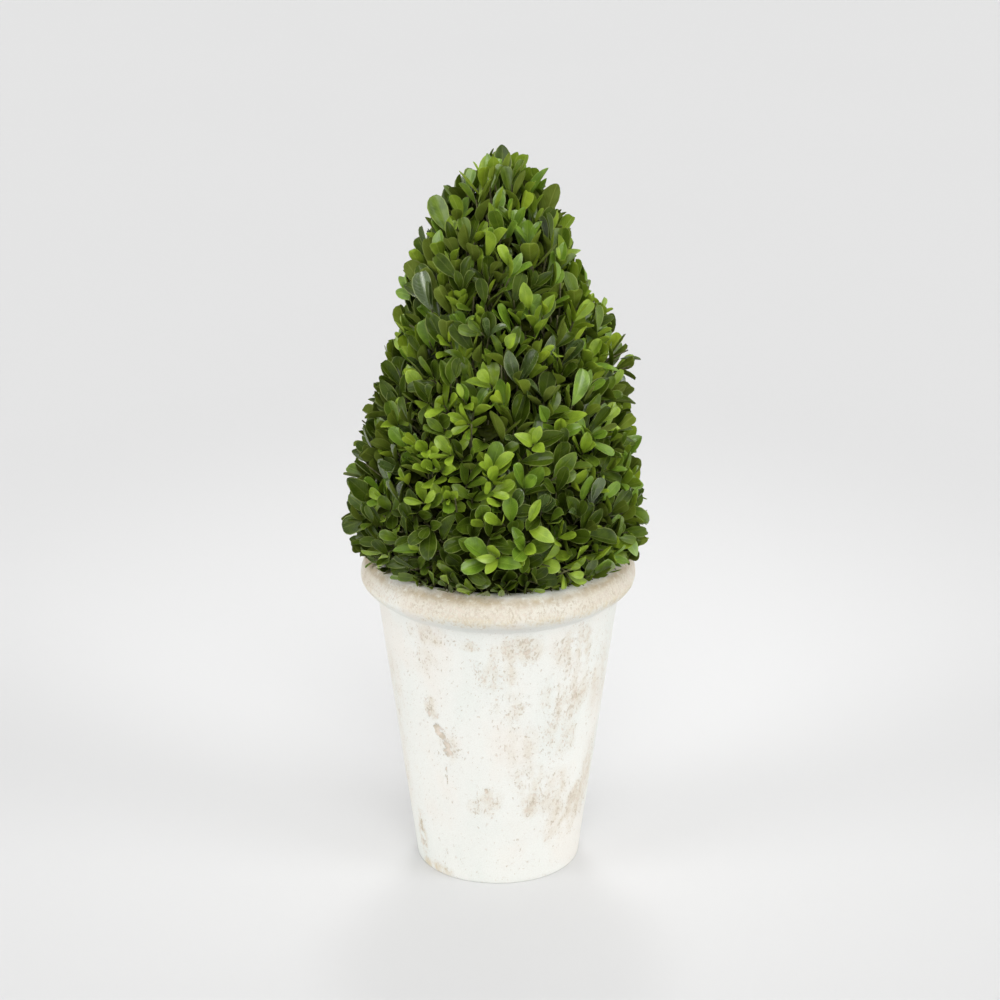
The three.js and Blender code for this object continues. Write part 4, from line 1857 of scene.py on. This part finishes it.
@dataclass
class LeafRule:
    """Sets pairs of leaves along each sprig, and the dark leaves inside the crown, whose tone is painted
    shade.
    """

    length: float = 0.0242
    width: float = 0.0115
    nodes: tuple[tuple[float, float, float], ...] = (
        (1.00, 20, 0.80), (0.80, 36, 0.98), (0.55, 48, 1.05), (0.27, 58, 1.02), (-0.05, 68, 0.98),
    )
    turn_jitter: float = 0.16
    spread_jitter: float = 9
    upright_from: float = 0.30
    upright_over: float = 0.12
    upright_share: float = 0.3
    sizes: Span = (0.82, 1.14)
    slims: Span = (0.72, 1.12)
    lighter_tips: float = 0.25
    darker_feet: float = 0.35
    dull_gloss: float = 0.6
    shaded_feet: float = 0.7
    roll_jitter: float = 0.34
    curl: float = -0.03
    curl_jitter: float = 0.13
    cups: Span = (0.12, 0.80)
    tone_sizes: tuple[float, ...] = (1.0, 1.05, 1.0, 0.97, 0.86, 1.08)
    light_rise: float = 0.8
    light_pull: float = 0.14
    inner_at: tuple[float, ...] = (0.55, 0.8, 1.0, 1.22)
    inner_spread: float = 80
    inner_spread_jitter: float = 14
    inner_length: float = 0.024
    inner_sizes: Span = (0.85, 1.15)
    inner_slim: float = 0.66
    inner_curl: float = -0.05
    inner_curl_jitter: float = 0.05
    inner_cups: Span = (0, 0.2)
    inner_blade: int = 5

    def toned(self, draw: Draw, tone: Array, order: int) -> Array:
        """Leaf tones from their sprigs': a little lighter at the tip, and darker towards the foot as painted
        shade.
        """
        lighter = draw.random(len(tone))
        plain = tone < Tone.GLOSS.value
        tipped = plain & (order == 0) & (lighter < self.lighter_tips)
        tone = np.where(tipped, np.minimum(tone + 1, Tone.LIME.value), tone)
        dulled = plain & (order >= 2) & (lighter < self.darker_feet)
        tone = np.where(dulled, np.maximum(tone - 1, Tone.DEEP.value), tone)
        tone = np.where(~plain & (lighter > self.dull_gloss), Tone.DEEP.value, tone)
        # The leaves of the last node, deep in the crown, mostly take the SHADE tone, a painted shade.
        return np.where((order == 4) & (lighter < self.shaded_feet), Tone.SHADE.value, tone)

    def buds(self, draw: Draw, sprigs: Sprigs, order: int) -> Buds:
        """The pair of leaves that each sprig would carry at one of its nodes.

        Args:
            draw: the seeded draw.
            sprigs: the sprigs.
            order: the node's number, 0 at the tip.

        Returns:
            The two leaves of each sprig.
        """
        along, spread, size = self.nodes[order]
        sprigs = sprigs.where(~sprigs.bare)
        count = sprigs.count()
        halves = []
        for half in (0, 1):
            azimuth = sprigs.turn + order * math.pi / 2 + half * math.pi
            azimuth = azimuth + draw.normal(0, self.turn_jitter, count)
            high = np.clip((sprigs.root[:, 2] - self.upright_from) / self.upright_over, 0, 1)
            open_by = (spread + draw.normal(0, self.spread_jitter, count)) * (1 - self.upright_share * high)
            scale = size * sprigs.size * draw.uniform(*self.sizes, count)
            slim = draw.uniform(*self.slims, count)
            tone = self.toned(draw, sprigs.tone, order)
            scale = scale * np.array(self.tone_sizes)[tone]
            variant = draw.integers(0, self.inner_blade, count)
            roll = draw.normal(0, self.roll_jitter, count)
            curl = draw.normal(self.curl, self.curl_jitter, count)
            cup = draw.uniform(*self.cups, count)
            halves.append(
                Buds(
                    foot=sprigs.root + sprigs.axis * (sprigs.reach * along)[:, None],
                    tip=sprigs.root + sprigs.axis * sprigs.reach[:, None], axis=sprigs.axis,
                    side=sprigs.side, across=sprigs.across, outward=sprigs.outward, azimuth=azimuth,
                    spread=np.radians(open_by), roll=roll, length=self.length * scale,
                    width=self.width * scale * slim, curl=curl, cup=cup, variant=variant, tone=tone,
                    mass=sprigs.mass, owner=sprigs.number,
                )
            )
        return Buds.joined(halves)

    def posed(self, buds: Buds, share: float, swing: float, scale: float) -> Leaves:
        """Sets leaves at their buds, turned a little to the light.

        Args:
            buds: the buds.
            share: how far each leaf opens, as a share of its own spread.
            swing: how far it turns round the twig, in radians.
            scale: its length, as a share of its own.

        Returns:
            The leaves.
        """
        turn = (buds.azimuth + swing)[:, None]
        along, upper = opened(buds, turn, (buds.spread * share)[:, None])
        light = unit(buds.outward + np.array([0, 0, self.light_rise]))
        upper = upper + self.light_pull * light
        upper = unit(upper - along * np.sum(upper * along, axis=1, keepdims=True))
        wide = np.cross(upper, along)
        roll = buds.roll[:, None]
        rolled = upper * np.cos(roll) + wide * np.sin(roll)
        wide = wide * np.cos(roll) - upper * np.sin(roll)
        kept = {entry.name: getattr(buds, entry.name) for entry in fields(Growth)}
        kept["length"] = buds.length * scale
        kept["width"] = buds.width * (1 + scale) / 2
        return Leaves(**kept, along=along, wide=wide, upper=rolled)

    def inner(self, draw: Draw, twigs: Array, sprigs: Sprigs) -> list[Leaves]:
        """Leaves on the hidden part of each twig, laid across it so that no light comes through, in the SHADE
        tone, a painted shade.

        Args:
            draw: the seeded draw.
            twigs: the twigs' points.
            sprigs: the sprigs that they end in.

        Returns:
            The leaves, in sets of one for each twig.
        """
        sets = []
        count = sprigs.count()
        for share in self.inner_at:
            at = min(int(share * 3), 5)
            part = share * 3 - at
            foot = twigs[:, at] * (1 - part) + twigs[:, at + 1] * part
            for _ in range(2):
                turn = draw.uniform(0, 2 * math.pi, count)[:, None]
                spread = self.inner_spread + draw.normal(0, self.inner_spread_jitter, count)
                along, upper = opened(sprigs, turn, np.radians(spread)[:, None])
                length = self.inner_length * draw.uniform(*self.inner_sizes, count)
                curl = draw.normal(self.inner_curl, self.inner_curl_jitter, count)
                sets.append(
                    Leaves(
                        foot=foot, length=length, width=self.inner_slim * length, curl=curl,
                        cup=draw.uniform(*self.inner_cups, count),
                        variant=np.full(count, self.inner_blade),
                        tone=np.full(count, Tone.SHADE.value), mass=sprigs.mass,
                        owner=np.arange(count), along=along, wide=np.cross(upper, along), upper=upper,
                    )
                )
        return sets


@dataclass
class Limbs:
    """The boughs that leave the stem, and the twigs that run on from them into the sprigs."""

    stem: Stem
    outline: Outline
    bough_rings: int = 9
    bough_thick: float = 0.0026
    bough_thin: float = 0.0011
    stem_share: float = 0.7
    turn_step: int = 5
    turn_jitter: float = 0.1
    least_rise: float = 0.014
    more_rise: float = 0.024
    out_share: float = 0.74
    sag: float = 0.006
    waver: float = 0.002
    first_fork: int = 3
    below_cost: float = 0.6
    twig_radii: tuple[float, ...] = (0.0010, 0.0009, 0.0008, 0.0007, 0.00065, 0.0006, 0.00045)

    def bough(self, draw: Draw, start: Vector, turn: float) -> Array:
        """One bough's points, from the stem towards the core's skin.

        Args:
            draw: the seeded draw.
            start: where it leaves the stem.
            turn: its angle round the stem.

        Returns:
            The points.
        """
        end_z = start.z + self.least_rise + self.more_rise * draw.random()
        out = self.out_share * float(self.outline.core(np.array(end_z)))
        end = Vector((out * math.cos(turn), out * math.sin(turn), end_z))
        steps = np.linspace(0, 1, self.bough_rings)[:, None]
        line = np.array(start) * (1 - steps) + np.array(end) * steps
        line[:, 2] += self.sag * np.sin(math.pi * steps[:, 0]) * draw.uniform(-0.6, 1)
        line[:, :2] += self.waver * draw.normal(0, 1, (self.bough_rings, 2)) * np.sin(math.pi * steps)
        return line

    def boughs(self, draw: Draw, number: int) -> tuple[list[Array], list[Array]]:
        """The boughs of one mass.

        Args:
            draw: the seeded draw.
            number: the mass's number.

        Returns:
            The points of each bough, and its radius at each point.
        """
        lines, radii = [], []
        mass = MASSES[number]
        for order in range(mass.boughs):
            start = self.stem.centre(blend(*mass.span, (order + 0.5) / mass.boughs))
            turn = (order + self.turn_step * number) * GOLDEN_ANGLE + draw.normal(0, self.turn_jitter)
            lines.append(self.bough(draw, start, turn))
            thick = min(self.bough_thick, self.stem_share * self.stem.radius(start.z))
            radii.append(np.linspace(thick, self.bough_thin, self.bough_rings))
        return lines, radii

    def twigs(self, sprigs: Sprigs, boughs: Sequence[Array]) -> tuple[Array, Array]:
        """Twigs that run from the nearest bough below to each sprig's tip.

        Args:
            sprigs: the sprigs.
            boughs: the boughs' points.

        Returns:
            The points and radii of each twig.
        """
        knots = np.concatenate([line[self.first_fork:] for line in boughs])
        lines = []
        for root, axis, reach in zip(sprigs.root, sprigs.axis, sprigs.reach):
            gap = root - knots
            cost = np.linalg.norm(gap, axis=1) + self.below_cost * np.maximum(0, -gap[:, 2])
            start = knots[int(np.argmin(cost))]
            pull = np.linalg.norm(root - start) * 0.5
            bend = root - axis * pull
            first, last = bend - start, root - start
            inner = [start + first * 2 * t * (1 - t) + last * t * t for t in (0, 0.33, 0.67)]
            outer = [root + axis * reach * t for t in (0, 0.35, 0.7, 1.0)]
            lines.append(np.array([*inner, *outer]))
        return np.array(lines), np.tile(self.twig_radii, (len(lines), 1))


@dataclass
class Crown:
    """The clipped crown: boughs, twigs and leaves for each of its three masses."""

    stem: Stem
    seed: int = 146
    layers: tuple[Layer, ...] = (
        Layer(760, 0.2300, 0.475, 0.0172, 1.0, 0, 5, (0.0, 0.36, 0.25, 0.12, 0.15, 0.14), 0.05),
        Layer(150, 0.2285, 0.236, 0.0140, 0.66, -16, 4, (0.0, 0.34, 0.30, 0.16, 0.20, 0.0), 0.0, 0.7),
        Layer(760, 0.2300, 0.474, 0.0085, 0.84, 4, 3, (0.06, 0.50, 0.32, 0.06, 0.06, 0.0), 0.0, 1.9),
    )
    ways: tuple[tuple[float, float, float], ...] = (
        (1, 0, 1), (1.2, 0, 1), (0.8, 0, 1), (1, 0.45, 1), (1, -0.45, 1), (0.6, 0.3, 1),
        (1.35, -0.3, 0.95), (0.8, 0.5, 0.88), (0.6, -0.5, 0.88), (1.2, 0.6, 0.8), (0.45, 0, 0.8),
    )
    own_gap: float = 0.003
    tip_gap: float = 0.001
    inner_reach: float = 0.86
    inner_short: float = 0.6
    bough_sides: int = 8
    twig_sides: int = 4
    leaf_slot: str = "leaves"
    bark_slot: str = "bark"
    space: Clipping = field(default_factory=Clipping)
    rule: LeafRule = field(default_factory=LeafRule)
    taken: list[BVHTree] = field(init=False, default_factory=list)
    twig_tree: BVHTree = field(init=False, default=None)

    def blocked(self, tree: BVHTree, leaves: Leaves, buds: Buds) -> Array:
        """Says of each leaf whether it cuts a twig or a leaf already placed.

        Args:
            tree: the search tree of the leaves.
            leaves: the leaves.
            buds: the buds that they grow from.

        Returns:
            True for each leaf that does.
        """
        size = len(PROXY_FACES)
        blocked = np.zeros(leaves.count(), bool)
        for leaf, twig in tree.overlap(self.twig_tree):
            if leaves.owner[leaf // size] != twig // len(TWIG_FACES):
                blocked[leaf // size] = True
        feet = buds.foot + buds.axis * self.own_gap
        own_tree = tree_of(spikes(feet, buds.tip, buds.side, buds.across), TWIG_FACES)
        for leaf, twig in tree.overlap(own_tree):
            if leaf // size == twig // len(TWIG_FACES):
                blocked[leaf // size] = True
        return blocked | self.cut(tree, leaves.count())

    def cut(self, tree: BVHTree, count: int) -> Array:
        """Says of each leaf of a search tree whether it cuts a leaf already placed."""
        cut = np.zeros(count, bool)
        for other in self.taken:
            cut[[pair[0] // len(PROXY_FACES) for pair in tree.overlap(other)]] = True
        return cut

    def place(self, buds: Buds) -> Leaves:
        """Finds room for leaves: each opens, folds, turns or shortens until it fits and is clear of the rest.

        Args:
            buds: the buds.

        Returns:
            The leaves that found room.
        """
        placed = []
        for share, swing, scale in self.ways:
            if not buds.count():
                break
            leaves = self.rule.posed(buds, share, swing, scale)
            shapes = proxies(leaves)
            good = np.flatnonzero(self.space.holds(shapes))
            if not len(good):
                continue
            tree = tree_of(shapes[good], PROXY_FACES)
            free = ~self.blocked(tree, leaves.where(good), buds.where(good))
            kept = first_come(tree, len(PROXY_FACES), free)
            if not kept:
                continue
            numbers = good[kept]
            placed.append(leaves.where(numbers))
            self.taken.append(tree_of(shapes[numbers], PROXY_FACES))
            rest = np.ones(buds.count(), bool)
            rest[numbers] = False
            buds = buds.where(rest)
        return Leaves.joined(placed)

    def filled(self, sets: Sequence[Leaves]) -> Leaves:
        """The inner leaves in painted shade that have room inside the crown, whole or, failing that,
        shortened.

        Args:
            sets: the leaves.

        Returns:
            Those that are kept.
        """
        hidden = []
        for leaves in sets:
            tips = leaves.points(np.array([0.5, 0.98]), np.zeros(2), np.zeros(2))
            radius = np.hypot(tips[..., 0], tips[..., 1])
            reach = self.space.outline.reach(tips[..., 2]) * self.inner_reach
            hidden.append(leaves.where(np.all(radius < reach, axis=1) & self.space.holds(tips)))
        leaves = Leaves.joined(hidden)
        cut = self.cut(tree_of(proxies(leaves), PROXY_FACES), leaves.count())
        small = leaves.where(cut)
        small.length, small.width = small.length * self.inner_short, small.width * self.inner_short
        still_cut = self.cut(tree_of(proxies(small), PROXY_FACES), small.count())
        return Leaves.joined([leaves.where(~cut), small.where(~still_cut)])

    def build(self) -> list[Piece]:
        """Grows the crown and joins it into pieces, each kind apart.

        Returns:
            The pieces.
        """
        draw = np.random.default_rng(self.seed)
        kinds = [blade.build() for blade in blades()]
        sprig_rule = SprigRule(self.space)
        grown = [sprig_rule.grow(draw, layer, order) for order, layer in enumerate(self.layers)]
        sprigs = Sprigs.joined(grown)
        sprigs.number = np.arange(sprigs.count())
        limbs = Limbs(self.stem, self.space.outline)
        boughs = [limbs.boughs(draw, number) for number in range(len(MASSES))]
        twigs, thick = limbs.twigs(sprigs, [line for lines, _ in boughs for line in lines])
        tips = sprigs.root + sprigs.axis * (sprigs.reach + self.tip_gap)[:, None]
        self.twig_tree = tree_of(spikes(sprigs.root, tips, sprigs.side, sprigs.across), TWIG_FACES)
        leaves = []
        for number, layer in enumerate(self.layers):
            own = sprigs.where(sprigs.layer == number)
            leaves += [self.place(self.rule.buds(draw, own, order)) for order in range(layer.nodes)]
            LOG.info("layer %d: %s leaves", number, [group.count() for group in leaves[-layer.nodes:]])
        outer = sprigs.layer == 0
        inner = self.filled(self.rule.inner(draw, twigs[outer], sprigs.where(outer)))
        LOG.info("inner leaves: %d", inner.count())
        leaves = Leaves.joined([*leaves, inner])
        skins = leaf_skins()
        bough_bark = Bark("bough_bark", (0.13, 0.10, 0.065), (0.045, 0.034, 0.022)).make()
        twig_bark = Bark("twig_bark", (0.17, 0.17, 0.07), (0.08, 0.075, 0.03)).make()
        pieces = []
        for number, (mass, (lines, radii)) in enumerate(zip(MASSES, boughs)):
            own = sprigs.mass == number
            bough = tube_mesh(f"{mass.name}_boughs", lines, radii, self.bough_sides)
            self.dress(bough, self.bark_slot, mass, bough_bark)
            twig = tube_mesh(f"{mass.name}_twigs", twigs[own], thick[own], self.twig_sides)
            self.dress(twig, self.bark_slot, mass, twig_bark)
            pieces += [bough, twig, *self.foliage(mass, leaves.where(leaves.mass == number), kinds, skins)]
        return pieces

    def foliage(
        self, mass: Mass, leaves: Leaves, kinds: Sequence[Blade], skins: dict[Tone, tuple[Material, Material]]
    ) -> list[Piece]:
        """Joins and dresses the leaves of one mass, each tone apart.

        Args:
            mass: the mass.
            leaves: its leaves.
            kinds: the blades that they are copies of.
            skins: the finishes of each tone's faces and backs.

        Returns:
            The pieces.
        """
        pieces = []
        for tone in Tone:
            group = leaves.where(leaves.tone == tone.value)
            if group.count():
                piece = leaf_mesh(f"{mass.name}_leaves_{tone.name.lower()}", group, kinds)
                self.dress(piece, self.leaf_slot, mass, *skins[tone])
                pieces.append(piece)
        return pieces

    def dress(self, piece: Piece, slot: str, mass: Mass, *materials: Material) -> None:
        """Gives a piece its finishes and its place in the frame.

        Args:
            piece: the piece.
            slot: not used.
            mass: the mass whose solid it stands for.
            *materials: its finishes, in order.
        """
        for material in materials:
            piece.data.materials.append(material)
        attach(piece, BODY)
        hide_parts(f"{mass.name}_foliage")


# ---------------------------------------- studio


@dataclass(frozen=True)
class Lobe:
    """A soft bright part of the sky, full at its heart and gone at its edge."""

    toward: Point
    heart: float
    edge: float
    strength: float


@dataclass
class Studio:
    """Pale floor, soft lights and the camera."""

    floor_size: float = 40.0
    camera_place: Point = (0.0, -1.725, 0.894)
    camera_aim: Point = (0.0, 0.0, 0.265)
    lens: float = 96.3
    shift: float = 0.002
    dusk: float = 0.30
    haze: float = 0.484
    lobes: tuple[Lobe, ...] = (
        Lobe((0.05, -0.1, 1.0), 14, 58, 0.80), Lobe((0.09, -0.71, 0.70), 6, 25, 3.8),
        Lobe((0.90, -0.40, 0.35), 5, 21, 5.6), Lobe((-0.90, -0.40, 0.30), 5, 21, 5.7),
        Lobe((0.10, 0.80, 0.60), 6, 28, 0.7),
    )
    glow_place: Point = (0.0, 1.60, 2.4)
    glow_aim: Point = (0.01, 0.27, 0.0)
    glow_power: float = 155.0
    glow_angle: float = 17.5
    glow_size: float = 0.4
    haze_top: float = 0.20
    haze_full: float = 0.07

    def build_floor(self) -> None:
        """Lays the floor."""
        deselect_all()
        bpy.ops.mesh.primitive_grid_add(x_subdivisions=8, y_subdivisions=8, size=self.floor_size)
        floor = bpy.context.object
        floor.name = "studio_floor"
        floor.data.materials.append(Backdrop().make())

    def build_lights(self) -> None:
        """Sets up soft boxes as bright parts of the sky, and a lamp that lifts the floor round the pot."""
        world = bpy.data.worlds.new("studio")
        bpy.context.scene.world = world
        world.use_nodes = True
        shader = Shader(world.node_tree)
        way = shader.add("ShaderNodeTexCoord").outputs["Generated"]
        height = shader.add("ShaderNodeSeparateXYZ", {0: way}).outputs["Z"]
        light = shader.plus(shader.ramp(height, self.haze_top, self.haze_full, self.haze), self.dusk)
        for lobe in self.lobes:
            ways = {0: way, 1: Vector(lobe.toward).normalized()}
            near = shader.add("ShaderNodeVectorMath", ways, operation="DOT_PRODUCT").outputs["Value"]
            edge, heart = math.cos(math.radians(lobe.edge)), math.cos(math.radians(lobe.heart))
            light = shader.plus(shader.ramp(near, edge, heart, lobe.strength), light)
        sky = shader.add("ShaderNodeBackground", {"Color": (1, 1, 1, 1), "Strength": light})
        shader.add("ShaderNodeOutputWorld", {"Surface": sky.outputs[0]})
        data = bpy.data.lights.new("glow", "SPOT")
        data.energy = self.glow_power
        data.spot_size = math.radians(self.glow_angle)
        data.spot_blend = 1.0
        data.shadow_soft_size = self.glow_size
        self.aimed("glow", data, self.glow_place, self.glow_aim)
        bpy.context.scene.view_settings.view_transform = "Standard"

    def build_camera(self) -> None:
        """Sets up the camera."""
        data = bpy.data.cameras.new("camera")
        data.lens = self.lens
        data.shift_x = self.shift
        bpy.context.scene.camera = self.aimed("camera", data, self.camera_place, self.camera_aim)

    def aimed(self, name: str, data: bpy.types.ID, place: Point, aim: Point) -> Piece:
        """Sets up a lamp or a camera.

        Args:
            name: what it is called.
            data: the lamp's or camera's own data.
            place: where it stands.
            aim: the point that it looks at.

        Returns:
            The new object.
        """
        tool = bpy.data.objects.new(name, data)
        tool.location = place
        ahead = Vector(aim) - Vector(place)
        tool.rotation_euler = ahead.to_track_quat("-Z", "Y").to_euler()
        bpy.context.scene.collection.objects.link(tool)
        return tool


def triangle_count(piece: Piece) -> int:
    """How many triangles a piece's mesh has."""
    return sum(len(polygon.vertices) - 2 for polygon in piece.data.polygons)


def main() -> None:
    """Builds the pieces in order and reports each one."""
    logging.basicConfig(level=logging.INFO, format="%(name)s: %(message)s")
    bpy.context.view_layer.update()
    studio = Studio()
    studio.build_camera()
    studio.build_lights()
    studio.build_floor()
    stem = Stem()
    parts = (Pot(), SoilTop(), stem)
    for part in parts:
        piece = part.build()
        part.dress()
        LOG.info("%s: %d triangles", piece.name, triangle_count(piece))
    total = 0
    for piece in Crown(stem).build():
        count = triangle_count(piece)
        total += count
        LOG.info("%s: %d triangles", piece.name, count)
    LOG.info("crown: %d triangles", total)


if __name__ == "__main__":
    main()
